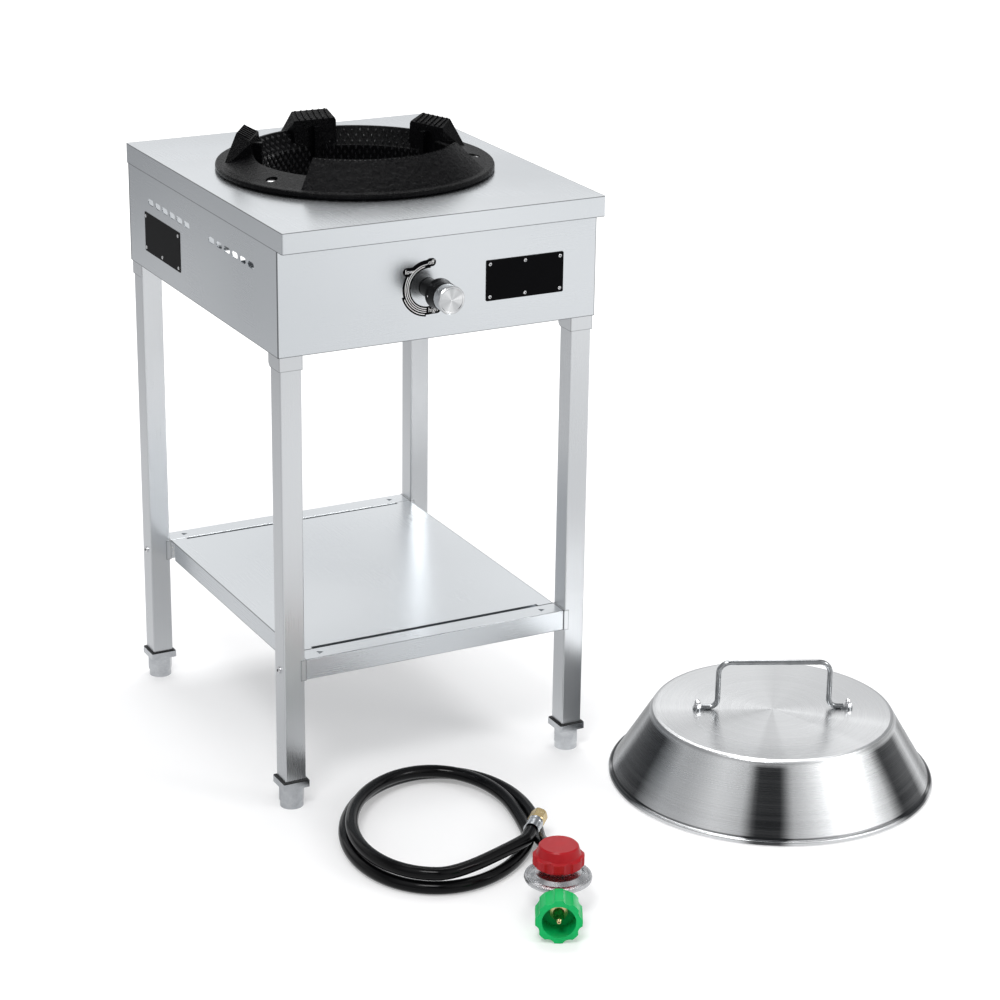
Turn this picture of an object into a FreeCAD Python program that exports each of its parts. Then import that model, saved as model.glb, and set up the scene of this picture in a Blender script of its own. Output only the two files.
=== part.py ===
import FreeCAD, Part
import Sketcher
import math
import os

from FreeCAD import Placement, Rotation, Vector

# A free-standing gas wok range: a sheet-steel cabinet on four tube legs, a cast-iron wok ring over
# a jet burner, a shelf between the legs, and beside it on the floor the burner's cover and the gas
# hose with its regulator. X runs to the right, Y to the back, Z up; the origin is on the floor in
# the middle of the four feet. Lengths are millimetres, angles are degrees.

DRIVING = {
    # cabinet and top plate
    "cabinet_width": 500, "cabinet_depth": 570, "cabinet_bottom": 695, "plate_top": 878,
    "plate_sheet": 1.5, "panel_sheet": 1.2, "lip_height": 30, "front_overhang": 22,
    "lip_gap": 0.3, "seam": 0.8, "fold_depth": 15, "fold_margin": 60,
    "side_fold_margin": 95,
    # legs, sockets, feet
    "leg_side": 33, "leg_wall": 1.5, "leg_round": 2.2, "leg_inset": 3, "leg_bottom": 45,
    "leg_top": 757, "socket_wall": 1.2, "socket_depth": 38, "socket_drop": 21,
    "socket_round": 7, "cap_side": 41.5, "cap_height": 10, "cap_plug": 20, "cap_slack": 0.2,
    "pad_thick": 1.2, "pad_side": 39, "foot_radius": 19.5, "foot_taper": 2.1, "foot_toe": 8,
    "foot_flats": 17.6, "foot_bevel": 1.5,
    "stud_radius": 5, "stud_length": 38, "stud_fit": 0.08,
    # shelf and rails
    "rail_bottom": 203, "rail_height": 32, "rail_sheet": 1.5, "bracket_tab": 6.5,
    "tab_length": 25, "tab_reach": 12, "shelf_slot_margin": 25.2, "shelf_slot": 7,
    "shelf_fold": 28, "shelf_side_margin": 17, "pierced_hole": 6, "pierced_inset": 29.5,
    "sheet_gap": 0.3,
    # wok ring
    "ring_radius": 206.5, "ring_flange": 10, "ring_edge": 3.5, "ring_bore": 150,
    "ring_spigot_wall": 3.5, "ring_spigot_drop": 80, "spigot_gap": 1.5,
    "ring_wall_foot": 194, "gap_lip_height": 20, "guard_height": 48, "guard_half_angle": 49,
    "back_wall_radius": 168, "back_wall_height": 25, "back_wall_land": 4,
    "guard_angle": -89, "tooth_pitch_angle": 2.7, "tooth_width": 2.6, "tooth_depth": 1.5,
    "prong_height": 51, "prong_foot_outer": 190, "prong_foot_inner": 148,
    "prong_top_outer": 172, "prong_top_inner": 152, "prong_foot_half": 51,
    "prong_top_half": 29, "prong_inner_half": 34, "prong_drop": 10, "prong_ribs": 6, "prong_rib_width": 2.4,
    "prong_rib_height": 1.6, "prong_fin_width": 9, "prong_fin_reach": 9,
    "ring_bolt_radius": 178, "ring_bolt_shank": 4, "ring_bolt_head": 7,
    "ring_bolt_head_height": 5, "ring_bolt_well": 8.6, "ring_bolt_seat": 7,
    # burner, mixer and gas line
    "burner_radius": 86, "burner_height": 24, "burner_rise": 16, "hub_radius": 28,
    "bar_width": 44, "bar_thick": 3, "bar_fold": 25, "line_drop": 108,
    "mixer_radius": 13, "mixer_wall": 2.5, "injector_gap": 24.8, "mixer_seat": 10,
    "bell_radius": 26, "bell_length": 35, "air_hole": 5, "air_circle": 17,
    "shutter_thick": 1.5, "shutter_fit": 0.08, "injector_radius": 8, "injector_bore": 1.2,
    "valve_radius": 14, "valve_length": 66, "valve_flange": 22, "valve_neck": 7,
    "valve_bush": 12, "stem_radius": 4, "stem_seat": 20, "pipe_radius": 5, "pipe_margin": 100,
    "pipe_bend": 28, "inlet_thread_radius": 7.94, "inlet_thread_length": 18,
    "inlet_hex_flats": 22, "inlet_bore": 3.5,
    # knob, dial and plates
    "knob_side": 20, "knob_radius": 20.5, "knob_reach": 74, "knob_gap": 33,
    "skirt_depth": 23, "skirt_flare": 1.6, "knob_hub": 14, "hub_gap": 2, "hub_slack": 0.6,
    "dial_outer": 40, "dial_track_outer": 42.5,
    "dial_inner": 28, "dial_thick": 0.4, "dial_start": 83, "dial_sweep": 200,
    "dial_track_start": 195, "dial_track_sweep": 70, "pill_height": 12,
    "name_plate_width": 125, "name_plate_height": 60, "name_plate_thick": 1,
    "name_plate_margin": 116, "name_plate_rise": 73, "screw_inset": 6, "screw_head": 2.6,
    "screw_head_height": 1.5, "screw_shank": 1.4, "data_plate_width": 143,
    "data_plate_height": 61, "data_plate_thick": 0.6, "data_plate_margin": 138,
    "data_plate_rise": 61.5, "vent_length": 22, "vent_height": 9, "vent_pitch": 29,
    "vent_row": 120, "vent_rise": 111, "vent_count": 6,
    # burner cover
    "cover_radius": 244, "cover_rim": 4, "cover_top_radius": 182, "cover_height": 106,
    "cover_sheet": 1.2, "cover_shoulder": 6, "cover_side": 462, "cover_front": 486,
    "handle_rod": 4, "handle_foot_half": 114, "handle_bar_half": 84, "handle_rise": 76,
    "handle_bend": 17, "handle_pad": 14, "nut_flats": 13, "nut_height": 6, "cover_turn": 25,
    # hose and regulator
    "hose_radius": 9.5, "hose_lay": 21.1, "floor_gap": 0.3, "loop_across": 136,
    "loop_deep": 185, "loop_flare": 8, "hose_side": 80, "hose_front": 445, "hose_turn": 28,
    "regulator_ahead": 215, "regulator_out": 170, "regulator_arm": 44, "ferrule_radius": 11.4,
    "ferrule_length": 24, "nipple_radius": 5.5, "nipple_length": 13, "flare_nut_flats": 22,
    "flare_nut_length": 22, "disc_radius": 46, "disc_rise": 17, "arm_radius": 12, "inlet_arm": 54,
    "tower_radius": 17, "tower_rise": 44, "dial_knob_radius": 35.5, "dial_knob_height": 31,
    "cylinder_nut_radius": 32, "cylinder_nut_length": 46, "cylinder_nut_bore": 23,
    "probe_radius": 9, "swivel_fit": 0.08, "swivel_gap": 0.3,
}
DIAL_PILLS = ((83, 36, 15), (139, 39, 20), (283, 34.5, 24))
PRONG_ANGLES = (19.5, 89, 146)
RING_BOLT_ANGLES = (-157, -19)
LOBES = 8
AIR_HOLES = 3
BURNER_PORTS = 24

doc = FreeCAD.newDocument("wok_range")
sheet = doc.addObject("Spreadsheet::Sheet", "dims")


class Size:
    """A length or an angle that carries its value and its sheet formula together."""

    def __init__(self, value, formula):
        self.value = value
        self.formula = formula

    def __add__(self, other):
        other = as_size(other)
        return Size(self.value + other.value, f"({self.formula} + {other.formula})")

    def __sub__(self, other):
        other = as_size(other)
        return Size(self.value - other.value, f"({self.formula} - {other.formula})")

    def __mul__(self, other):
        other = as_size(other)
        return Size(self.value * other.value, f"({self.formula} * {other.formula})")

    def __truediv__(self, other):
        other = as_size(other)
        return Size(self.value / other.value, f"({self.formula} / {other.formula})")

    def __radd__(self, other):
        return as_size(other) + self

    def __rsub__(self, other):
        return as_size(other) - self

    def __rmul__(self, other):
        return as_size(other) * self

    def __neg__(self):
        return as_size(0) - self


def as_size(number):
    if isinstance(number, Size):
        return number
    return Size(float(number), f"({float(number):.6f})")


class Dims:
    """The driving dimensions by name."""


d = Dims()
for row, (name, number) in enumerate(DRIVING.items(), start=1):
    sheet.set(f"A{row}", name)
    sheet.set(f"B{row}", str(number))
    sheet.setAlias(f"B{row}", name)
    setattr(d, name, Size(float(number), f"dims.{name}"))
doc.recompute()

nodes = {}


def value(length):
    return as_size(length).value


def bind(thing, prop, length):
    thing.setExpression(prop, as_size(length).formula)


def put(thing, x, y, z, turn=None):
    """Place a thing: its spot is bound to the sheet, its turn is a rotation."""
    thing.Placement = Placement(Vector(value(x), value(y), value(z)), turn or Rotation())
    for axis, length in zip("xyz", (x, y, z)):
        bind(thing, f"Placement.Base.{axis}", length)
    return thing


def keep(node, thing):
    """Give a finished sub-part its name."""
    thing.Label = node
    nodes[node] = thing
    return thing


def box(x, y, z, length, width, height):
    thing = doc.addObject("Part::Box", "block")
    bind(thing, "Length", length)
    bind(thing, "Width", width)
    bind(thing, "Height", height)
    return put(thing, x, y, z)


TURN_Z = Rotation()
TURN_X = Rotation(Vector(0, 1, 0), 90)
TURN_Y = Rotation(Vector(1, 0, 0), -90)
TURN_FRONT = Rotation(Vector(1, 0, 0), 90)


def cylinder(x, y, z, radius, height, turn=TURN_Z):
    thing = doc.addObject("Part::Cylinder", "round")
    bind(thing, "Radius", radius)
    bind(thing, "Height", height)
    return put(thing, x, y, z, turn)


def cone(x, y, z, radius_start, radius_end, height, turn=TURN_Z):
    thing = doc.addObject("Part::Cone", "cone")
    bind(thing, "Radius1", radius_start)
    bind(thing, "Radius2", radius_end)
    bind(thing, "Height", height)
    return put(thing, x, y, z, turn)


def torus(x, y, z, radius, thickness):
    thing = doc.addObject("Part::Torus", "roll")
    bind(thing, "Radius1", radius)
    bind(thing, "Radius2", thickness)
    return put(thing, x, y, z)


def prism(x, y, z, sides, across_flats, height, turn=TURN_Z):
    """A regular prism by the distance from its middle to its flats, doubled."""
    thing = doc.addObject("Part::Prism", "prism")
    thing.Polygon = sides
    bind(thing, "Circumradius", across_flats / (2 * math.cos(math.pi / sides)))
    bind(thing, "Height", height)
    return put(thing, x, y, z, turn)


def fuse(*things):
    thing = doc.addObject("Part::MultiFuse", "fuse")
    thing.Shapes = list(things)
    thing.Refine = True
    return thing


def group(*things):
    thing = doc.addObject("Part::Compound", "group")
    thing.Links = list(things)
    return thing


def cut(base, *tools):
    thing = doc.addObject("Part::Cut", "cut")
    thing.Base = base
    thing.Tool = tools[0] if len(tools) == 1 else fuse(*tools)
    return thing


def common(first, second):
    thing = doc.addObject("Part::Common", "common")
    thing.Base = first
    thing.Tool = second
    return thing


def soften(thing, radius, along):
    """Round the straight edges that run along one axis."""
    doc.recompute()
    picked = []
    for number, edge in enumerate(thing.Shape.Edges, start=1):
        if edge.Curve.TypeId != "Part::GeomLine":
            continue
        if abs(abs(edge.tangentAt(edge.FirstParameter).dot(along)) - 1) < 1e-6:
            picked.append((number, value(radius), value(radius)))
    rounded = doc.addObject("Part::Fillet", "rounded")
    rounded.Base = thing
    rounded.Edges = picked
    return rounded


def spun(points, angle=360, x=0, y=0, z=0, turn=TURN_Z):
    """A body turned about its own Z axis from an outline of (radius, height) points."""
    body = doc.addObject("PartDesign::Body", "spun")
    sketch = body.newObject("Sketcher::SketchObject", "outline")
    plane = next(part for part in body.Origin.OriginFeatures if part.Role == "XZ_Plane")
    sketch.AttachmentSupport = [(plane, "")]
    sketch.MapMode = "FlatFace"
    corners = [Vector(value(radius), value(height), 0) for radius, height in points]
    count = len(corners)
    for index in range(count):
        sketch.addGeometry(Part.LineSegment(corners[index], corners[(index + 1) % count]), False)
    for index in range(count):
        joined = ("Coincident", index, 2, (index + 1) % count, 1)
        sketch.addConstraint(Sketcher.Constraint(*joined))
    for index, (radius, height) in enumerate(points):
        for kind, zero_line, length in (("DistanceX", -2, radius), ("DistanceY", -1, height)):
            if isinstance(length, (int, float)) and length == 0:
                sketch.addConstraint(Sketcher.Constraint("PointOnObject", index, 1, zero_line))
                continue
            rule = Sketcher.Constraint(kind, -1, 1, index, 1, value(length))
            number = sketch.addConstraint(rule)
            bind(sketch, f"Constraints[{number}]", length)
    turned = body.newObject("PartDesign::Revolution", "turned")
    turned.Profile = sketch
    turned.ReferenceAxis = (sketch, ["V_Axis"])
    bind(turned, "Angle", angle)
    return put(body, x, y, z, turn)


def solid(name, shape, placement=None):
    """A shape that is made by formula, with its place set after it."""
    thing = doc.addObject("Part::Feature", name)
    thing.Shape = shape
    if placement is not None:
        thing.Placement = placement.multiply(shape.Placement)
    return thing


def fasteners(spots, turn, head, head_height, shank, length, dome=0.5):
    """Button-head screws: heads stand along the turned Z axis, shanks go the other way."""
    screws = []
    for x, y, z in spots:
        screws.append(spun([(0, -length), (shank, -length), (shank, 0), (head, 0),
                            (head, head_height * dome), (head * 0.6, head_height),
                            (0, head_height)], 360, x, y, z, turn))
    return screws


def shank_holes(spots, turn, shank, length, slack=0.15):
    """What the shanks of those screws cut from the sheets they pass through."""
    axis = turn.multVec(Vector(0, 0, 1))
    holes = []
    for x, y, z in spots:
        holes.append(cylinder(x - axis.x * length, y - axis.y * length, z - axis.z * length,
                              shank + slack, 2 * length, turn))
    return holes


# ---- cabinet -----------------------------------------------------------------------------------
half_width = d.cabinet_width / 2
half_depth = d.cabinet_depth / 2
plate_under = d.plate_top - d.plate_sheet
panel_height = plate_under - d.cabinet_bottom
line_height = d.plate_top - d.line_drop
burner_floor = line_height + d.burner_rise
pipe_side = half_width - d.pipe_margin

ring_bolt_spots = []
for angle in RING_BOLT_ANGLES:
    across = d.ring_bolt_radius * math.cos(math.radians(angle))
    along = d.ring_bolt_radius * math.sin(math.radians(angle))
    ring_bolt_spots.append((across, along, d.plate_top + d.ring_bolt_seat))


def make_top_plate():
    """A pan of one sheet: flat top, four lips folded down, deeper overhang at the front."""
    side = half_width + d.lip_gap + d.plate_sheet
    front = half_depth + d.front_overhang
    back = half_depth + d.lip_gap + d.plate_sheet
    outer = box(-side, -front, d.plate_top - d.lip_height, 2 * side, front + back, d.lip_height)
    outer = soften(outer, d.plate_sheet * 1.6, Vector(0, 0, 1))
    inner = box(-side + d.plate_sheet, -front + d.plate_sheet,
                d.plate_top - d.lip_height - d.plate_sheet, 2 * (side - d.plate_sheet),
                front + back - 2 * d.plate_sheet, d.lip_height)
    hole = cylinder(0, 0, plate_under - 1, d.ring_bore + d.ring_spigot_wall + d.spigot_gap,
                    d.plate_sheet + 2)
    bolts = shank_holes(ring_bolt_spots, TURN_Z, d.ring_bolt_shank, d.lip_height)
    return keep("top_plate", cut(outer, inner, hole, *bolts))


def end_panel(side, holes):
    """The front (side -1) or back (side 1) sheet, folded in at the sides and at the foot."""
    near = half_depth if side > 0 else -half_depth
    face_y = near - d.panel_sheet if side > 0 else near
    fold_y = near - d.panel_sheet - d.fold_depth if side > 0 else near + d.panel_sheet
    fold_foot = d.leg_top + d.socket_wall * 4
    pieces = [box(-half_width, face_y, d.cabinet_bottom, d.cabinet_width, d.panel_sheet,
                  panel_height)]
    for fold_x in (-half_width + d.panel_sheet, half_width - 2 * d.panel_sheet):
        pieces.append(box(fold_x, fold_y, fold_foot, d.panel_sheet, d.fold_depth,
                          plate_under - fold_foot))
    fold_half = half_width - d.fold_margin
    pieces.append(box(-fold_half, fold_y, d.cabinet_bottom, 2 * fold_half, d.fold_depth,
                      d.panel_sheet))
    return cut(fuse(*pieces), *holes)


def pill(side_x, y, z):
    """One vent: a slot with round ends, cut through a side panel."""
    reach = (d.vent_length - d.vent_height) / 2
    radius = d.vent_height / 2
    x = side_x - 5
    return fuse(box(x, y - reach, z - radius, 10, 2 * reach, d.vent_height),
                cylinder(x, y - reach, z, radius, 10, TURN_X),
                cylinder(x, y + reach, z, radius, 10, TURN_X))


def side_panel(side, holes):
    """A flat side sheet with two rows of vents and a fold at its foot."""
    edge = half_width if side > 0 else -half_width
    face_x = edge - d.panel_sheet if side > 0 else edge
    fold_x = edge - d.panel_sheet - d.fold_depth if side > 0 else edge + d.panel_sheet
    reach = half_depth - d.panel_sheet - d.seam
    face = box(face_x, -reach, d.cabinet_bottom, d.panel_sheet, 2 * reach, panel_height)
    fold_half = half_depth - d.side_fold_margin
    fold = box(fold_x, -fold_half, d.cabinet_bottom, d.fold_depth, 2 * fold_half, d.panel_sheet)
    vents = []
    for row in (-1, 1):
        for number in range(int(value(d.vent_count))):
            shift = (number - (value(d.vent_count) - 1) / 2) * d.vent_pitch
            vents.append(pill(edge, row * d.vent_row + shift, d.cabinet_bottom + d.vent_rise))
    return cut(fuse(face, fold), group(*vents), *holes)


name_x = half_width - d.name_plate_margin
name_z = d.cabinet_bottom + d.name_plate_rise
name_reach_x = d.name_plate_width / 2 - d.screw_inset
name_reach_z = d.name_plate_height / 2 - d.screw_inset
name_y = -half_depth - d.name_plate_thick
name_spots = [(name_x + column * name_reach_x, name_y, name_z + row * name_reach_z)
              for column in (-1, 0, 1) for row in (-1, 1)]
data_x = -half_width - d.data_plate_thick
data_y = half_depth - d.data_plate_margin
data_z = d.cabinet_bottom + d.data_plate_rise
data_reach_y = d.data_plate_width / 2 - d.screw_inset
data_reach_z = d.data_plate_height / 2 - d.screw_inset
data_spots = [(data_x, data_y + column * data_reach_y, data_z + row * data_reach_z)
              for column, row in ((-1, -1), (-1, 1), (1, -1), (1, 1), (0, -1))]
TURN_LEFT = Rotation(Vector(0, 1, 0), -90)
screw_length = d.panel_sheet * 4


def make_panels():
    neck = cylinder(-d.knob_side, -half_depth - 5, line_height, d.valve_neck + 0.2, 12, TURN_Y)
    name_holes = shank_holes(name_spots, TURN_FRONT, d.screw_shank, screw_length)
    keep("front_panel", end_panel(-1, [neck, *name_holes]))
    inlet = cylinder(pipe_side, half_depth - 7, line_height,
                     d.inlet_thread_radius + 0.2, 12, TURN_Y)
    keep("back_panel", end_panel(1, [inlet]))
    data_holes = shank_holes(data_spots, TURN_LEFT, d.screw_shank, screw_length)
    keep("left_side_panel", side_panel(-1, data_holes))
    keep("right_side_panel", side_panel(1, []))


# ---- legs, sockets and feet --------------------------------------------------------------------
CORNERS = {"front_left": (-1, -1), "front_right": (1, -1), "back_left": (-1, 1),
           "back_right": (1, 1)}
leg_x = half_width - d.leg_inset - d.leg_side / 2
leg_y = half_depth - d.leg_inset - d.leg_side / 2
half_leg = d.leg_side / 2
rail_middle = d.rail_bottom + d.rail_height / 2
socket_bottom = d.cabinet_bottom - d.socket_drop
socket_screw_height = d.leg_top - d.leg_side
bolt_shank = as_size(3)
bolt_head = as_size(5.2)
bolt_head_height = as_size(3)
bolt_length = d.leg_side + 3 * d.rail_sheet
socket_screw_length = d.leg_side / 2


def square_bar(x, y, z, side, height):
    return box(x - side / 2, y - side / 2, z, side, side, height)


def make_leg(corner, sx, sy):
    x, y = sx * leg_x, sy * leg_y
    outer = soften(square_bar(x, y, d.leg_bottom, d.leg_side, d.leg_top - d.leg_bottom),
                   d.leg_round, Vector(0, 0, 1))
    inner = square_bar(x, y, d.leg_bottom - 1, d.leg_side - 2 * d.leg_wall,
                       d.leg_top - d.leg_bottom + 2)
    bolt = cylinder(x - half_leg - 2, y, rail_middle, bolt_shank + 0.15, d.leg_side + 4, TURN_X)
    inner_x = x - sx * half_leg
    screw = cylinder(inner_x - 5, y, socket_screw_height, bolt_shank + 0.15, 10, TURN_X)
    keep(f"{corner}_leg", cut(outer, inner, bolt, screw))


def make_socket(corner, sx, sy):
    """A bent sheet bracket round three sides of the leg, closed over the leg's top."""
    x, y = sx * leg_x, sy * leg_y
    wide = d.leg_side + 2 * d.socket_wall
    tall = d.leg_top + d.socket_wall - socket_bottom
    outer_y = sy * (leg_y + half_leg + d.socket_wall)
    start_y = outer_y if sy < 0 else outer_y - d.socket_depth
    shell = box(x - wide / 2, start_y, socket_bottom, wide, d.socket_depth, tall)
    hollow_y = start_y + d.socket_wall if sy < 0 else start_y - 1
    hollow = box(x - half_leg, hollow_y, socket_bottom - 1, d.leg_side,
                 d.socket_depth - d.socket_wall + 1, tall - d.socket_wall + 1)
    rear_y = outer_y - sy * d.socket_depth
    centre_y = rear_y + sy * d.socket_round
    block_y = centre_y if sy < 0 else centre_y - d.socket_round - 1
    block = box(x - wide / 2 - 1, block_y, socket_bottom - 1, wide + 2, d.socket_round + 1,
                d.socket_round + 1)
    wheel = cylinder(x - wide / 2 - 2, centre_y, socket_bottom + d.socket_round,
                     d.socket_round, wide + 4, TURN_X)
    inner_x = x - sx * half_leg
    screw = cylinder(inner_x - 5, y, socket_screw_height, bolt_shank + 0.15, 10, TURN_X)
    keep(f"{corner}_leg_socket", cut(shell, hollow, cut(block, wheel), screw))


def make_foot_parts(corner, sx, sy):
    """A square cap pressed into the tube, and the adjustable foot whose stud screws into it."""
    x, y = sx * leg_x, sy * leg_y
    cap_bottom = d.leg_bottom - d.pad_thick - d.cap_height
    plug = d.leg_side - 2 * d.leg_wall - 2 * d.cap_slack
    flange = soften(square_bar(x, y, cap_bottom, d.cap_side, d.cap_height), 2,
                    Vector(0, 0, 1))
    bore = cylinder(x, y, cap_bottom - 1, d.stud_radius + d.stud_fit,
                    d.cap_height + d.cap_plug + d.pad_thick + 5)
    body = fuse(flange, square_bar(x, y, cap_bottom, plug,
                                   d.cap_height + d.pad_thick + d.cap_plug))
    keep(f"{corner}_foot_cap", cut(body, bore))
    pad = cut(square_bar(x, y, d.leg_bottom - d.pad_thick, d.pad_side, d.pad_thick),
              square_bar(x, y, d.leg_bottom - d.pad_thick - 1, plug + 2 * d.cap_slack,
                         d.pad_thick + 2))
    toe = d.foot_radius - d.foot_taper
    bullet = spun([(0, 0), (toe, 0), (toe, d.foot_toe),
                   (d.foot_radius, d.foot_toe + 2 * d.foot_taper),
                   (d.foot_radius, cap_bottom - d.foot_bevel),
                   (d.foot_radius - 2 * d.foot_bevel, cap_bottom), (0, cap_bottom)], 360, x, y, 0)
    flats = prism(x, y, -1, 6, 2 * d.foot_flats, cap_bottom + 2)
    stud = cylinder(x, y, cap_bottom - 1, d.stud_radius, d.stud_length)
    keep(f"{corner}_foot", fuse(common(bullet, flats), stud))
    return pad


def make_leg_bolts():
    screws = []
    for sx, sy in CORNERS.values():
        outward = TURN_X if sx > 0 else TURN_LEFT
        inward = TURN_LEFT if sx > 0 else TURN_X
        outer = [(sx * (leg_x + half_leg), sy * leg_y, rail_middle)]
        screws += fasteners(outer, outward, bolt_head, bolt_head_height, bolt_shank, bolt_length)
        inner_x = sx * (leg_x - half_leg - d.socket_wall)
        screws += fasteners([(inner_x, sy * leg_y, socket_screw_height)], inward, bolt_head,
                            bolt_head_height, bolt_shank, socket_screw_length)
    keep("leg_bolts", group(*screws))


# ---- rails and shelf ---------------------------------------------------------------------------
leg_inner_x = leg_x - half_leg
rail_end = leg_inner_x - d.rail_sheet
rail_top = d.rail_bottom + d.rail_height
leg_inner_y = leg_y - half_leg
leg_outer_y = leg_y + half_leg
shelf_end = rail_end - d.sheet_gap
shelf_under = rail_top - d.rail_sheet
shelf_slot_half = shelf_end - d.shelf_slot_margin


def span_y(sy, near, far):
    """The lower end of a stretch from near to far, counted outwards on one side."""
    return near if sy > 0 else -far


def make_rail(node, sy):
    """A folded channel between two legs, open below, with four small ledges for the shelf."""
    low = span_y(sy, leg_inner_y, leg_outer_y)
    outer = soften(box(-rail_end, low, d.rail_bottom, 2 * rail_end, d.leg_side, d.rail_height),
                   1.4, Vector(1, 0, 0))
    inner = box(-rail_end - 1, low + d.rail_sheet, d.rail_bottom - 1, 2 * rail_end + 2,
                d.leg_side - 2 * d.rail_sheet, d.rail_height - d.rail_sheet + 1)
    holes = []
    for side in (-1, 1):
        holes.append(prism(side * (rail_end - d.pierced_inset), sy * leg_y, rail_top - 5, 3,
                           d.pierced_hole, 10))
        bolt_x = side * (rail_end - 10) - 10
        holes.append(cylinder(bolt_x, sy * leg_y, rail_middle, bolt_shank + 0.3, 20, TURN_X))
    rail = cut(outer, inner, *holes)
    ledges = []
    for side in (-1, 1):
        ledge_x = shelf_slot_half if side > 0 else -shelf_slot_half - d.tab_length
        ledges.append(box(ledge_x, span_y(sy, leg_inner_y - d.tab_reach, leg_inner_y),
                          shelf_under - d.rail_sheet, d.tab_length, d.tab_reach, d.rail_sheet))
    keep(node, fuse(rail, *ledges))


def make_bracket(corner, sx, sy):
    """A saddle that carries the rail: a web on the leg's inner face and two tabs round it."""
    web_x = leg_inner_x - d.rail_sheet if sx > 0 else -leg_inner_x
    low = span_y(sy, leg_inner_y, leg_outer_y)
    web = box(web_x, low, d.rail_bottom, d.rail_sheet, d.leg_side, d.rail_height)
    tab_x = web_x if sx > 0 else -leg_inner_x - d.bracket_tab
    tabs = [box(tab_x, span_y(sy, near, near + d.rail_sheet), d.rail_bottom,
                d.rail_sheet + d.bracket_tab, d.rail_sheet, d.rail_height)
            for near in (leg_inner_y - d.rail_sheet, leg_outer_y)]
    bolt = cylinder(sx * leg_inner_x - 5, sy * leg_y, rail_middle, bolt_shank + 0.15, 10, TURN_X)
    keep(f"{corner}_rail_bracket", cut(fuse(web, *tabs), bolt))


def make_shelf():
    slot_y = leg_inner_y - d.shelf_slot
    side_half = leg_inner_y - d.shelf_side_margin
    edge_y = leg_inner_y - d.sheet_gap
    pieces = [box(-shelf_end, -slot_y, shelf_under, 2 * shelf_end, 2 * slot_y, d.rail_sheet)]
    corner_wide = shelf_end - shelf_slot_half
    for sx in (-1, 1):
        corner_x = shelf_slot_half if sx > 0 else -shelf_end
        pieces.append(box(corner_x, -edge_y, shelf_under, corner_wide, 2 * edge_y, d.rail_sheet))
        fold_x = shelf_end - d.rail_sheet if sx > 0 else -shelf_end
        pieces.append(box(fold_x, -side_half, shelf_under - d.shelf_fold, d.rail_sheet,
                          2 * side_half, d.shelf_fold + d.rail_sheet))
    for sy in (-1, 1):
        pieces.append(box(-shelf_slot_half, span_y(sy, slot_y - d.rail_sheet, slot_y),
                          shelf_under - d.shelf_fold, 2 * shelf_slot_half, d.rail_sheet,
                          d.shelf_fold + d.rail_sheet))
    keep("shelf_panel", fuse(*pieces))


# ---- wok ring ----------------------------------------------------------------------------------
def ring_section(points, start, sweep):
    """A stretch of the ring's wall: an outline turned through part of a circle."""
    return spun(points, sweep, 0, 0, d.plate_top, Rotation(Vector(0, 0, 1), start))


def ring_spot(radius, angle):
    return (radius * math.cos(math.radians(angle)), radius * math.sin(math.radians(angle)))


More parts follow.
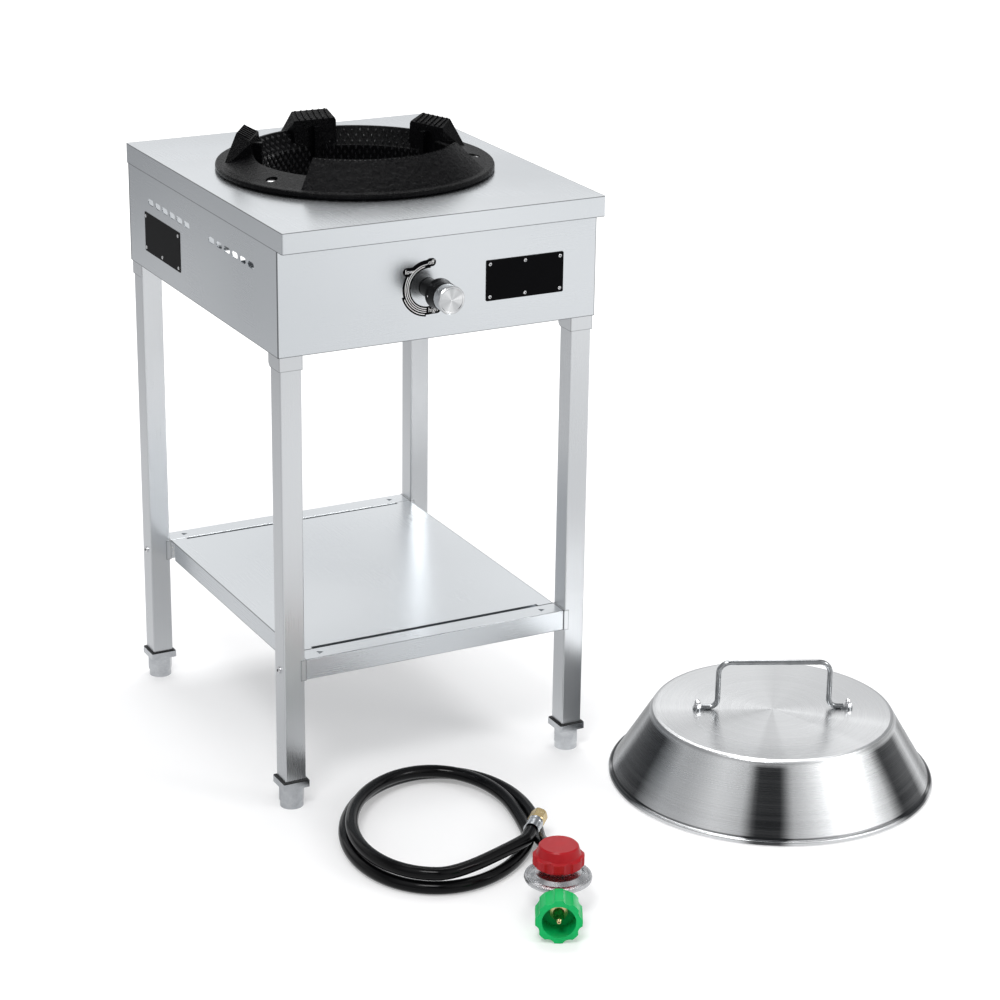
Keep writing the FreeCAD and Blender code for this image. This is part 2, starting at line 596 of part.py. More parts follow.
def prong(angle):
    """A wedge-shaped support: the wok rests on its sloping ribbed land."""
    turn = Rotation(Vector(0, 0, 1), angle) * Rotation(Vector(1, 1, 1), 120)
    wedge = doc.addObject("Part::Wedge", "wedge")
    bind(wedge, "Xmin", -d.prong_foot_half)
    bind(wedge, "Xmax", d.prong_foot_half)
    bind(wedge, "X2min", -d.prong_top_half)
    bind(wedge, "X2max", d.prong_top_half)
    bind(wedge, "Ymin", 0)
    bind(wedge, "Ymax", d.prong_height)
    bind(wedge, "Zmin", d.prong_foot_inner)
    bind(wedge, "Zmax", d.prong_foot_outer)
    bind(wedge, "Z2min", d.prong_top_inner)
    bind(wedge, "Z2max", d.prong_top_outer)
    put(wedge, 0, 0, d.plate_top, turn)
    slope = math.degrees(math.atan2(value(d.prong_drop),
                                    value(d.prong_top_outer) - value(d.prong_top_inner)))
    land = Rotation(Vector(0, 0, 1), angle) * Rotation(Vector(0, 1, 0), -slope)
    apex_x, apex_y = ring_spot(d.prong_top_outer, angle)
    apex_z = d.plate_top + d.prong_height
    outward = Vector(math.cos(math.radians(angle)), math.sin(math.radians(angle)), 0)
    across = Vector(-outward.y, outward.x, 0)
    reach = 60

    def on_land(thing, inward, sideways, lift):
        lean = math.radians(slope)
        back = inward * math.cos(lean) + lift * math.sin(lean)
        rise = lift * math.cos(lean) - inward * math.sin(lean)
        return put(thing, apex_x - outward.x * back + across.x * sideways,
                   apex_y - outward.y * back + across.y * sideways, apex_z + rise, land)

    spread = math.degrees(math.atan2(value(d.prong_foot_half) - value(d.prong_inner_half),
                                     value(d.prong_foot_outer) - value(d.prong_foot_inner)))
    flanks = []
    for side in (-1, 1):
        flank = doc.addObject("Part::Box", "flank")
        bind(flank, "Length", reach * 2)
        bind(flank, "Width", reach)
        bind(flank, "Height", d.prong_height + 2)
        turned = Rotation(Vector(0, 0, 1), angle + side * spread)
        ahead = turned.multVec(Vector(1, 0, 0)) * -10
        aside = turned.multVec(Vector(0, 1, 0)) * (0 if side > 0 else -reach)
        foot_x, foot_y = ring_spot(d.prong_foot_inner, angle)
        put(flank, foot_x + side * across.x * d.prong_inner_half + ahead.x + aside.x,
            foot_y + side * across.y * d.prong_inner_half + ahead.y + aside.y,
            d.plate_top - 1, turned)
        flanks.append(flank)

    trim = doc.addObject("Part::Box", "trim")
    bind(trim, "Length", reach * 2)
    bind(trim, "Width", reach * 2)
    bind(trim, "Height", reach)
    on_land(trim, reach, -reach, 0)
    ribs = []
    run = math.hypot(value(d.prong_drop), value(d.prong_top_outer) - value(d.prong_top_inner))
    rib_count = int(value(d.prong_ribs))
    for number in range(rib_count):
        share = (number + 0.5) / rib_count * 2 - 1
        rib = doc.addObject("Part::Box", "rib")
        bind(rib, "Length", run - 1.5)
        bind(rib, "Width", d.prong_rib_width)
        bind(rib, "Height", d.prong_rib_height * 2)
        middle = share * d.prong_top_half - d.prong_rib_width / 2
        on_land(rib, run - 0.8, middle, -d.prong_rib_height)
        ribs.append(rib)
    fin = doc.addObject("Part::Box", "fin")
    bind(fin, "Length", d.prong_fin_reach + d.ring_spigot_wall)
    bind(fin, "Width", d.prong_fin_width)
    bind(fin, "Height", d.prong_height * 0.62 + d.ring_spigot_drop)
    fin_x, fin_y = ring_spot(d.prong_foot_inner - d.prong_fin_reach, angle)
    put(fin, fin_x - across.x * d.prong_fin_width / 2, fin_y - across.y * d.prong_fin_width / 2,
        d.plate_top - d.ring_spigot_drop, Rotation(Vector(0, 0, 1), angle))
    return [cut(wedge, trim, *flanks), fin, *ribs]


def make_wok_ring():
    foot = d.ring_wall_foot
    flange = d.ring_flange
    spigot = d.ring_bore + d.ring_spigot_wall
    inner_lean = 8
    base = [(d.ring_bore - 2, -d.ring_spigot_drop), (spigot, -d.ring_spigot_drop), (spigot, 0),
            (d.ring_radius - d.ring_edge, 0), (d.ring_radius, d.ring_edge),
            (d.ring_radius, flange - d.ring_edge), (d.ring_radius - 1, flange - 1),
            (d.ring_radius - 2.5, flange), (d.ring_bore + inner_lean, flange),
            (d.ring_bore, 0), (d.ring_bore - 2, -1)]
    low = [(foot, flange - 1), (foot, flange), (d.ring_bore + 2, d.gap_lip_height),
           (d.ring_bore - 1, d.gap_lip_height - 2), (d.ring_bore - 1, 0),
           (d.ring_bore + 3, 0), (d.ring_bore + inner_lean + 3, flange - 1)]
    guard = [(foot + 1, flange - 1), (foot + 1, flange), (d.ring_bore + 3, d.guard_height),
             (d.ring_bore - 1, d.guard_height - 2), (d.ring_bore - 1, 0),
             (d.ring_bore + 3, 0), (d.ring_bore + inner_lean + 3, flange - 1)]
    back = [(foot - 3, flange - 1), (foot - 3, flange),
            (d.back_wall_radius + d.back_wall_land / 2, d.back_wall_height),
            (d.back_wall_radius - d.back_wall_land / 2, d.back_wall_height),
            (d.ring_bore + inner_lean, flange), (d.ring_bore + inner_lean, flange - 1)]
    guard_start = d.guard_angle - d.guard_half_angle
    guard_end = d.guard_angle + d.guard_half_angle
    back_start = PRONG_ANGLES[0] - 8
    back_end = PRONG_ANGLES[-1] + 8
    pieces = [ring_section(base, 0, 360),
              ring_section(guard, value(guard_start), 2 * d.guard_half_angle),
              ring_section(low, value(guard_end), back_start - guard_end),
              ring_section(low, back_end, 360 + guard_start - back_end),
              ring_section(back, back_start, back_end - back_start)]
    for angle in PRONG_ANGLES:
        pieces += prong(angle)
    tools = []
    teeth = int(2 * value(d.guard_half_angle) / value(d.tooth_pitch_angle))
    for number in range(teeth):
        angle = value(guard_start) + (number + 0.5) * 2 * value(d.guard_half_angle) / teeth
        notch = doc.addObject("Part::Box", "notch")
        bind(notch, "Length", 9)
        bind(notch, "Width", d.tooth_width)
        bind(notch, "Height", 8)
        x, y = ring_spot(d.ring_bore - 3, angle)
        turn = Rotation(Vector(0, 0, 1), angle)
        side = turn.multVec(Vector(0, 1, 0))
        put(notch, x - side.x * d.tooth_width / 2, y - side.y * d.tooth_width / 2,
            d.plate_top + d.guard_height - d.tooth_depth, turn)
        tools.append(notch)
    for x, y, z in ring_bolt_spots:
        tools.append(cylinder(x, y, z, d.ring_bolt_well, d.ring_flange * 2))
        tools.append(cylinder(x, y, d.plate_top - 2, d.ring_bolt_shank + 0.2, d.ring_flange))
    keep("wok_ring", cut(fuse(*pieces), group(*tools)))
    bolts = fasteners(ring_bolt_spots, TURN_Z, d.ring_bolt_head, d.ring_bolt_head_height,
                      d.ring_bolt_shank, d.ring_flange * 2, 0.8)
    keep("ring_bolts", group(*bolts))


# ---- burner and gas line -----------------------------------------------------------------------
hub_bottom = d.bar_thick + line_height - 23
bar_bottom = line_height - 23
mixer_start = d.hub_radius - d.mixer_seat
valve_back = half_depth - d.panel_sheet - d.valve_length
mixer_mouth = valve_back - d.injector_gap
air_turns = [360 / AIR_HOLES * number + 90 for number in range(AIR_HOLES)]
burner_bolt_spots = [(side * (d.hub_radius - 8), 0, bar_bottom) for side in (-1, 1)]
TURN_DOWN = Rotation(Vector(1, 0, 0), 180)
front_axis = Rotation(Vector(1, 0, 0), 90)


def air_holes(y, depth):
    holes = []
    for turn in air_turns:
        x = d.air_circle * math.cos(math.radians(turn))
        rise = d.air_circle * math.sin(math.radians(turn))
        holes.append(cylinder(x, y, line_height + rise, d.air_hole, depth, front_axis))
    return holes


def make_burner():
    r = d.burner_radius
    bowl = spun([(0, 0), (r - 2, 0), (r, 5), (r - 6, d.burner_height - 4),
                 (r - 14, d.burner_height), (r - 42, d.burner_height),
                 (r - 46, d.burner_height / 2), (0, d.burner_height / 2)], 360, 0, 0,
                burner_floor)
    hub = cylinder(0, 0, hub_bottom, d.hub_radius, burner_floor - hub_bottom + 1)
    seat = cylinder(0, -mixer_start, line_height, d.mixer_radius + d.cap_slack, 30, front_axis)
    throat = cylinder(0, 0, line_height, d.mixer_radius - d.mixer_wall, 30, front_axis)
    holes = shank_holes(burner_bolt_spots, TURN_DOWN, bolt_shank, as_size(14))
    ports = []
    for ring, radius in enumerate((r - 20, r - 28, r - 36)):
        for number in range(BURNER_PORTS):
            angle = 360 / BURNER_PORTS * (number + ring / 2)
            x, y = ring_spot(radius, angle)
            ports.append(cylinder(x, y, burner_floor + d.burner_height - 8, 1.6, 10))
    keep("burner_head", cut(fuse(bowl, hub), seat, throat, group(*ports), *holes))
    bolts = fasteners(burner_bolt_spots, TURN_DOWN, bolt_head, bolt_head_height, bolt_shank,
                      as_size(13))
    keep("burner_bolts", group(*bolts))
    end_x = half_width - d.panel_sheet - d.sheet_gap
    bar = [box(-end_x, -d.bar_width / 2, bar_bottom, 2 * end_x, d.bar_width, d.bar_thick)]
    for side in (-1, 1):
        fold_x = end_x - d.bar_thick if side > 0 else -end_x
        bar.append(box(fold_x, -d.bar_width / 2, bar_bottom, d.bar_thick, d.bar_width,
                       d.bar_fold + d.bar_thick))
    bar_holes = shank_holes(burner_bolt_spots, TURN_DOWN, bolt_shank, as_size(14))
    keep("burner_bracket", cut(fuse(*bar), *bar_holes))


def make_mixer():
    """A venturi tube: its throat seats in the burner's hub, its bell faces the injector."""
    r = d.mixer_radius
    wall = d.mixer_wall
    long = mixer_mouth - mixer_start
    bell = d.bell_length
    tube = spun([(r - wall, 0), (r, 0), (r, long - bell), (d.bell_radius, long - bell / 2),
                 (d.bell_radius, long), (d.injector_radius + 0.3, long),
                 (d.injector_radius + 0.3, long - 2), (d.bell_radius - wall, long - 2),
                 (d.bell_radius - wall, long - bell / 2 + 1), (r - wall, long - bell)],
                360, 0, -mixer_start, line_height, front_axis)
    keep("mixer_tube", cut(tube, *air_holes(-mixer_mouth + 4, 8)))
    disc = spun([(d.injector_radius + d.shutter_fit, 0), (d.bell_radius - 0.5, 0),
                 (d.bell_radius - 0.5, d.shutter_thick),
                 (d.injector_radius + d.shutter_fit, d.shutter_thick)],
                360, 0, -mixer_mouth - d.shutter_fit, line_height, front_axis)
    tab = box(-4, -mixer_mouth - d.shutter_fit - d.shutter_thick,
              line_height - d.bell_radius - 8, 8, d.shutter_thick, 12)
    keep("air_shutter", cut(fuse(disc, tab), *air_holes(-mixer_mouth + 2, 10)))


def make_valve():
    """The tap: a bush through the panel, an oblong body, and the injector at its back."""
    panel_inner = half_depth - d.panel_sheet
    back = valve_back
    side = -d.knob_side
    branch = -back - d.valve_length / 2
    body = [cylinder(side, -back, line_height, d.valve_radius, d.valve_length, front_axis),
            cylinder(0, -back, line_height, d.valve_radius, d.valve_length - 8, front_axis),
            cylinder(side, -panel_inner + 4, line_height, d.valve_flange, 4, front_axis),
            cylinder(side, -panel_inner, line_height, d.valve_neck,
                     d.valve_bush + d.panel_sheet, front_axis),
            cylinder(0, branch, line_height, 9, 26, TURN_X)]
    bore = cylinder(side, -panel_inner + d.stem_seat + 1, line_height,
                    d.stem_radius + d.stud_fit, d.valve_length, front_axis)
    pipe_seat = cylinder(18, branch, line_height, d.pipe_radius + d.stud_fit, 20, TURN_X)
    injector_seat = cylinder(0, -back + 1, line_height, d.injector_radius - 2 + d.stud_fit,
                             11, front_axis)
    keep("gas_valve", cut(fuse(*body), bore, pipe_seat, injector_seat))
    keep("valve_stem", cylinder(side, -panel_inner + d.stem_seat, line_height, d.stem_radius,
                                d.stem_seat + d.panel_sheet + d.knob_reach - 10, front_axis))
    neck_length = back - mixer_mouth + 3
    shape = fuse(cylinder(0, -mixer_mouth + 3, line_height, d.injector_radius,
                          neck_length, front_axis),
                 cylinder(0, -back, line_height, d.injector_radius - 2, 9, front_axis),
                 prism(0, -back + 10, line_height, 6, 20, 10, front_axis))
    orifice = cylinder(0, -mixer_mouth + 5, line_height, d.injector_bore,
                       neck_length + 14, front_axis)
    keep("gas_injector", cut(shape, orifice))


def bent_wire(points, radii):
    """Straight runs joined by tangent arcs; also the arc radii used."""
    edges = []
    start = points[0]
    for before, corner, after, radius in zip(points, points[1:], points[2:], radii):
        into = (corner - before).normalize()
        away = (after - corner).normalize()
        turn = into.getAngle(away)
        trim = radius * math.tan(turn / 2)
        first = corner - into * trim
        last = corner + away * trim
        inward = (away - into).normalize()
        middle = corner + inward * (radius / math.cos(turn / 2) - radius)
        edges.append(Part.LineSegment(start, first).toShape())
        edges.append(Part.Arc(first, middle, last).toShape())
        start = last
    edges.append(Part.LineSegment(start, points[-1]).toShape())
    return Part.Wire(edges)


def tube_along(wire, radius, start, direction):
    """One unbroken tube: a circle carried along a wire of lines and arcs."""
    ring = Part.Wire([Part.Circle(start, direction, radius).toShape()])
    shell = Part.BRepOffsetAPI.MakePipeShell(wire)
    shell.add(ring)
    shell.build()
    shell.makeSolid()
    return shell.shape()


def make_gas_line():
    z = value(line_height)
    y_valve = -value(valve_back) - value(d.valve_length) / 2
    y_end = value(half_depth) - value(d.panel_sheet) - 14
    side = value(pipe_side)
    points = [Vector(19, y_valve, z), Vector(side, y_valve, z), Vector(side, y_end, z)]
    wire = bent_wire(points, [value(d.pipe_bend)])
    outer = tube_along(wire, value(d.pipe_radius), points[0], Vector(1, 0, 0))
    inner = tube_along(wire, value(d.pipe_radius) - 1, points[0], Vector(1, 0, 0))
    keep("gas_pipe", solid("gas_pipe", outer.cut(inner)))
    panel_in = half_depth - d.panel_sheet
    flats = d.inlet_hex_flats
    thread = d.inlet_thread_radius
    hex_long = 8
    pieces = [prism(pipe_side, panel_in - 22, line_height, 6, flats, 22, TURN_Y),
              cylinder(pipe_side, panel_in - 2, line_height, thread,
                       hex_long + d.inlet_thread_length + 4, TURN_Y),
              prism(pipe_side, half_depth, line_height, 6, flats, hex_long, TURN_Y),
              cone(pipe_side, panel_in + hex_long + d.inlet_thread_length + 2, line_height,
                   thread, thread - 4, 4, TURN_Y)]
    seat = cylinder(pipe_side, panel_in - 24, line_height, d.pipe_radius + d.stud_fit,
                    12, TURN_Y)
    bore = cylinder(pipe_side, panel_in - 24, line_height, d.inlet_bore, 70, TURN_Y)
    keep("gas_inlet", cut(fuse(*pieces), seat, bore))


# ---- knob, dial and plates ---------------------------------------------------------------------
def make_knob():
    """A black flared skirt and a turned aluminium barrel, both on the valve's stem."""
    r = d.knob_radius
    bore = d.stem_radius + 0.06
    foot = d.knob_gap
    seam = foot + d.skirt_depth
    cup = d.valve_neck + d.hub_slack
    cup_end = d.valve_bush + d.hub_gap
    skirt = spun([(cup, d.hub_gap), (d.knob_hub, d.hub_gap), (d.knob_hub, foot),
                  (r + d.skirt_flare - 1, foot), (r + d.skirt_flare, foot + 1),
                  (r + d.skirt_flare, foot + 3.5), (r + 0.8, foot + 8), (r, seam),
                  (bore, seam), (bore, cup_end), (cup, cup_end)],
                 360, -d.knob_side, -half_depth, line_height, front_axis)
    keep("knob_skirt", skirt)
    reach = d.knob_reach
    barrel = spun([(bore, seam), (r - 0.6, seam), (r - 0.6, reach - 7), (r, reach - 6),
                   (r, reach - 1.2), (r - 1.2, reach), (r - 3, reach), (r - 4, reach - 0.6),
                   (0, reach - 0.3), (0, reach - 6), (bore, reach - 6)],
                  360, -d.knob_side, -half_depth, line_height, front_axis)
    keep("knob_barrel", barrel)


def flat_pill(x, z, length):
    """One lozenge of the dial plate."""
    radius = d.pill_height / 2
    reach = length / 2 - radius
    y = -half_depth
    return fuse(box(x - reach, y - d.dial_thick, z - radius, 2 * reach, d.dial_thick,
                    d.pill_height),
                cylinder(x - reach, y, z, radius, d.dial_thick, front_axis),
                cylinder(x + reach, y, z, radius, d.dial_thick, front_axis))


def dial_sector(outer, start, sweep):
    sector = doc.addObject("Part::Cylinder", "sector")
    bind(sector, "Radius", outer)
    bind(sector, "Height", d.dial_thick)
    bind(sector, "Angle", sweep)
    turn = Rotation(Vector(1, 0, 0), 90) * Rotation(Vector(0, 0, 1), value(start))
    return put(sector, -d.knob_side, -half_depth, line_height, turn)


def make_dial():
    """A thin plate round the knob: a ring's sector, a wider track, and three lozenges."""
    wide = fuse(dial_sector(d.dial_outer, d.dial_start, d.dial_sweep),
                dial_sector(d.dial_track_outer, d.dial_track_start, d.dial_track_sweep))
    pieces = [cut(wide, cylinder(-d.knob_side, -half_depth + 1, line_height, d.dial_inner,
                                 d.dial_thick + 2, front_axis))]
    for turn, radius, length in DIAL_PILLS:
        x = radius * math.cos(math.radians(turn)) - d.knob_side
        z = radius * math.sin(math.radians(turn)) + line_height
        pieces.append(flat_pill(x, z, as_size(length)))
    keep("dial_plate", fuse(*pieces))


def make_plates():
    plate = box(name_x - d.name_plate_width / 2, name_y, name_z - d.name_plate_height / 2,
                d.name_plate_width, d.name_plate_thick, d.name_plate_height)
    holes = shank_holes(name_spots, TURN_FRONT, d.screw_shank, screw_length)
    keep("name_plate", cut(soften(plate, 2, Vector(0, 1, 0)), *holes))
    screws = fasteners(name_spots, TURN_FRONT, d.screw_head, d.screw_head_height,
                       d.screw_shank, screw_length)
    keep("name_plate_screws", group(*screws))
    plate = box(data_x, data_y - d.data_plate_width / 2,
                data_z - d.data_plate_height / 2, d.data_plate_thick, d.data_plate_width,
                d.data_plate_height)
    holes = shank_holes(data_spots, TURN_LEFT, d.screw_shank, screw_length)
    keep("data_plate", cut(soften(plate, 2, Vector(1, 0, 0)), *holes))
    rivets = fasteners(data_spots, TURN_LEFT, d.screw_head, d.screw_head_height,
                       d.screw_shank, screw_length)
    keep("data_plate_rivets", group(*rivets))


# ---- burner cover ------------------------------------------------------------------------------
def make_cover():
    """A spun pan turned upside down: rolled rim, straight cone, flat top, and a rod handle."""
    rim = d.cover_rim
    roll = d.cover_radius - rim
    top = d.cover_top_radius
    high = d.cover_height
    skin = d.cover_sheet
    soft = d.cover_shoulder
    shell = spun([(roll - skin, rim + 1), (roll, rim + 2), (top, high - soft * 0.55),
                  (top - soft * 0.25, high - soft * 0.2), (top - soft, high), (0, high),
                  (0, high - skin), (top - soft - 0.4, high - skin),
                  (top - soft * 0.25 - skin, high - soft * 0.2 - skin * 0.9),
                  (top - skin, high - soft * 0.55 - skin * 0.4)],
                 360, d.cover_side, -d.cover_front, 0)
    edge = torus(d.cover_side, -d.cover_front, rim, roll, rim)
    hole_half = d.handle_foot_half
    lean = math.radians(-value(d.cover_turn))
    spots = [(d.cover_side + side * hole_half * math.cos(lean),
              -d.cover_front + side * hole_half * math.sin(lean)) for side in (-1, 1)]
    stud = as_size(2.5)
    holes = [cylinder(x, y, high - 10, stud + 0.15, 20) for x, y in spots]
    keep("cover_shell", cut(fuse(shell, edge), *holes))

    rod = value(d.handle_rod)
    pad_thick = 4.0
    low = value(high) + rod
    bar = value(d.handle_bar_half)
    rise = value(high) + value(d.handle_rise)
    foot = value(hole_half) - value(d.handle_pad) / 2
    bend = value(d.handle_bend)
    points = [Vector(-foot, 0, low), Vector(-bar, 0, low), Vector(-bar, 0, rise),
              Vector(bar, 0, rise), Vector(bar, 0, low), Vector(foot, 0, low)]
    wire = bent_wire(points, [bend * 0.75, bend, bend, bend * 0.75])
    rod_shape = tube_along(wire, rod, points[0], Vector(1, 0, 0))
    for side in (-1, 1):
        centre = side * value(hole_half)
        pad = Part.makeCylinder(value(d.handle_pad) / 2, pad_thick,
                                Vector(centre, 0, value(high)))
        neck = Part.makeBox(value(d.handle_pad) / 2 + 4, 9, pad_thick,
                            Vector(min(centre, centre - side * (value(d.handle_pad) / 2 + 4)),
                                   -4.5, value(high)))
        rod_shape = rod_shape.fuse([pad, neck])
    for side in (-1, 1):
        drill = Part.makeCylinder(value(stud) + 0.15, 20,
                                  Vector(side * value(hole_half), 0, value(high) - 5))
        clear = Part.makeCylinder(value(d.nut_flats) * 0.6, 30,
                                  Vector(side * value(hole_half), 0, value(high) + pad_thick))
        rod_shape = rod_shape.cut([drill, clear])
    spot = Vector(value(d.cover_side), -value(d.cover_front), 0)
    place = Placement(spot, Rotation(Vector(0, 0, 1), -value(d.cover_turn)))
    keep("cover_handle", solid("cover_handle", rod_shape.removeSplitter(), place))

    nuts = []
    for x, y in spots:
        base = high + pad_thick
        flats = d.nut_flats
        nut = prism(x, y, base, 6, flats * 0.8, d.nut_height)
        dome = spun([(0, 0), (flats * 0.36, 0), (flats * 0.33, 3), (flats * 0.2, 5.6),
                     (0, 6.6)], 360, x, y, base + d.nut_height)
        bolt = cylinder(x, y, high - 6, stud, base + 3 - high + 6)
        head = cylinder(x, y, high - d.cover_sheet - 3, stud * 2, 3)
        nuts.append(fuse(nut, dome, bolt, head))
    keep("cover_nuts", group(*nuts))


# ---- hose and regulator ------------------------------------------------------------------------
hose_place = Placement(Vector(-value(d.hose_side), -value(d.hose_front), 0),
                       Rotation(Vector(0, 0, 1), -value(d.hose_turn)))
arm_height = value(d.cylinder_nut_radius) + value(d.floor_gap)
lay_height = value(d.hose_radius) + value(d.floor_gap)
regulator_x = value(d.regulator_out)
regulator_y = -value(d.regulator_ahead)
outlet_y = regulator_y + value(d.regulator_arm)
hose_start = Vector(regulator_x, outlet_y + value(d.ferrule_length), arm_height)


def coil_point(turn):
    """A point of the hose's middle line after so many turns, in the coil's own frame."""
    angle = 2 * math.pi * turn
    first_turn = turn if turn < 1 else turn - 1
    flare = value(d.loop_flare) * max(0.0, 1 - 4 * first_turn)
    across = value(d.loop_across) + flare
    deep = value(d.loop_deep)
    height = lay_height
    if turn >= 1:
        climb = math.radians(min(120 * (turn - 1), 88))
        across -= value(d.hose_lay) * math.cos(climb)
        deep -= value(d.hose_lay) * math.cos(climb)
        height += value(d.hose_lay) * math.sin(climb)
    return Vector(across * math.cos(angle), deep * math.sin(angle), height)


def biarc(start, start_way, end, end_way):
    """Two tangent arcs between two points with given directions."""
    span = end - start
    ways = start_way + end_way
    a = 2 * (1 - start_way.dot(end_way))
    b = 2 * span.dot(ways)
    reach = (-b + math.sqrt(b * b + 4 * a * span.dot(span))) / (2 * a) if a > 1e-9 else \
        span.dot(span) / (4 * span.dot(end_way))
    joint = (start + start_way * reach + end - end_way * reach) * 0.5
    arcs = []
    radii = []
    for first, way, last in ((start, start_way, joint), (end, end_way * -1, joint)):
        chord = last - first
        along = Vector(chord).normalize()
        lean = way.getAngle(along)
        bulge = (way - along * way.dot(along)).normalize()
        middle = first + chord * 0.5 + bulge * (chord.Length / 2 * math.tan(lean / 2))
        radii.append(chord.Length / 2 / math.sin(lean))
        if last is joint and first is end:
            arcs.append(Part.Arc(last, middle, first).toShape())
        else:
            arcs.append(Part.Arc(first, middle, last).toShape())
    return arcs, radii


def hose_line():
    """The hose's middle line: straight ends, a long lead-in and two turns of quarter biarcs."""
    straight = 2 * value(d.hose_radius)
    lead = hose_start + Vector(0, straight, 0)
    turns = [quarter / 4 for quarter in range(8)]
    stations = [coil_point(turn) for turn in turns]
    ways = []
    for index, turn in enumerate(turns):
        angle = 2 * math.pi * turn
        way = Vector(-math.sin(angle), math.cos(angle), 0)
        if 4 < index < len(turns) - 1:
            rise = stations[index + 1].z - stations[index - 1].z
            path = math.pi * (value(d.loop_across) + value(d.loop_deep)) / 2
            way.z = rise / path
        ways.append(way.normalize())
    end_angle = math.radians(-22)
    last_across = value(d.loop_across) + 3
    last = Vector(last_across * math.cos(end_angle), value(d.loop_deep) * math.sin(end_angle),
                  lay_height + value(d.hose_lay) + 2)
    last_way = Vector(math.cos(math.radians(74)), math.sin(math.radians(74)), 0.055).normalize()
    stations = [lead] + stations + [last]
    ways = [Vector(0, 1, 0)] + ways + [last_way]
    edges = [Part.LineSegment(hose_start, lead).toShape()]
    radii = []
    for index in range(len(stations) - 1):
        arcs, sizes = biarc(stations[index], ways[index], stations[index + 1], ways[index + 1])
        edges += arcs
        radii += sizes
    finish = last + last_way * straight
    edges.append(Part.LineSegment(last, finish).toShape())
    return Part.Wire(edges), finish, last_way, radii


def check_hose(wire, shape, radii):
    """Print the hose's length, radii, volume and its least gap to itself."""
    radius = value(d.hose_radius)
    step = 4.0
    marks = wire.discretize(Number=int(wire.Length / step))
    spacing = wire.Length / (len(marks) - 1)
    skip = int(6 * radius / spacing)
    least = min(first.distanceToPoint(second)
                for index, first in enumerate(marks)
                for second in marks[index + skip:])
    expected = math.pi * radius * radius * wire.Length
    print("hose length", round(wire.Length, 1), "radii", [round(r) for r in radii])
    print("hose volume share", round(shape.Volume / expected, 5),
          "least gap to itself", round(least - 2 * radius, 2),
          "lowest", round(min(mark.z for mark in marks) - radius, 2))


def local(shape):
    """A shape of the hose's frame, as a sub-part in the object's frame."""
    return solid("hose_piece", shape, hose_place)


def turned_solid(points, base, direction):
    """A closed outline of (radius, height) points turned about a line."""
    corners = [Vector(radius, 0, height) for radius, height in points]
    face = Part.Face(Part.makePolygon(corners + corners[:1]))
    shape = face.revolve(Vector(0, 0, 0), Vector(0, 0, 1), 360)
    shape.Placement = Placement(base, Rotation(Vector(0, 0, 1), direction))
    return shape


def hex_solid(flats, length, base, direction):
    corner = flats / 2 / math.cos(math.pi / 6)
    corners = [Vector(corner * math.cos(math.radians(60 * k)),
                      corner * math.sin(math.radians(60 * k)), 0) for k in range(7)]
    shape = Part.Face(Part.makePolygon(corners)).extrude(Vector(0, 0, length))
    shape.Placement = Placement(base, Rotation(Vector(0, 0, 1), direction))
    return shape


def lobed(radius, depth, length, base, direction):
    """A grip: a round with flutes cut along it."""
    shape = Part.makeCylinder(radius, length)
    flute = radius * 0.34
    for number in range(LOBES):
        angle = 2 * math.pi * (number + 0.5) / LOBES
        centre = radius + flute - depth
        shape = shape.cut(Part.makeCylinder(flute, length + 2, Vector(
            centre * math.cos(angle), centre * math.sin(angle), -1)))
    shape.Placement = Placement(base, Rotation(Vector(0, 0, 1), direction))
    return shape


def make_hose():
    wire, finish, way, radii = hose_line()
    shape = tube_along(wire, value(d.hose_radius), hose_start, Vector(0, 1, 0))
    check_hose(wire, shape, radii)
    keep("hose_coil", local(shape))
    ferrule = value(d.ferrule_length)
    radius = value(d.ferrule_radius)
    bead = [(0, 0), (radius, 0), (radius, ferrule * 0.25), (radius - 0.6, ferrule * 0.3),
            (radius - 0.6, ferrule * 0.7), (radius, ferrule * 0.75), (radius, ferrule),
            (0, ferrule)]
    back_end = turned_solid(bead, hose_start, Vector(0, -1, 0))
    front_end = turned_solid(bead, finish, way)
    nose = Part.makeCylinder(value(d.nipple_radius), value(d.nipple_length) + 1,
                             finish + way * (ferrule - 1), way)
    keep("hose_ferrules", local(Part.makeCompound([back_end, front_end.fuse(nose)])))
    nut_base = finish + way * (ferrule + value(d.swivel_gap))
    nut = hex_solid(value(d.flare_nut_flats), value(d.flare_nut_length), nut_base, way)
    tip = finish + way * (ferrule + value(d.swivel_gap) + value(d.flare_nut_length))
    rounding = turned_solid([(0, 0), (11.4, 0), (12.2, 1.2), (12.2, 20.8), (11.4, 22), (0, 22)],
                            nut_base, way)
    bore = Part.makeCylinder(value(d.nipple_radius) + value(d.swivel_fit), 40,
                             finish + way * ferrule, way)
    socket = Part.makeCylinder(value(d.inlet_thread_radius), 10, tip - way * 8, way)
    keep("flare_nut", local(nut.common(rounding).cut(bore).cut(socket)))
    turn = hose_place.Rotation
    print("flare nut axis", hose_place.multVec(tip), turn.multVec(way))


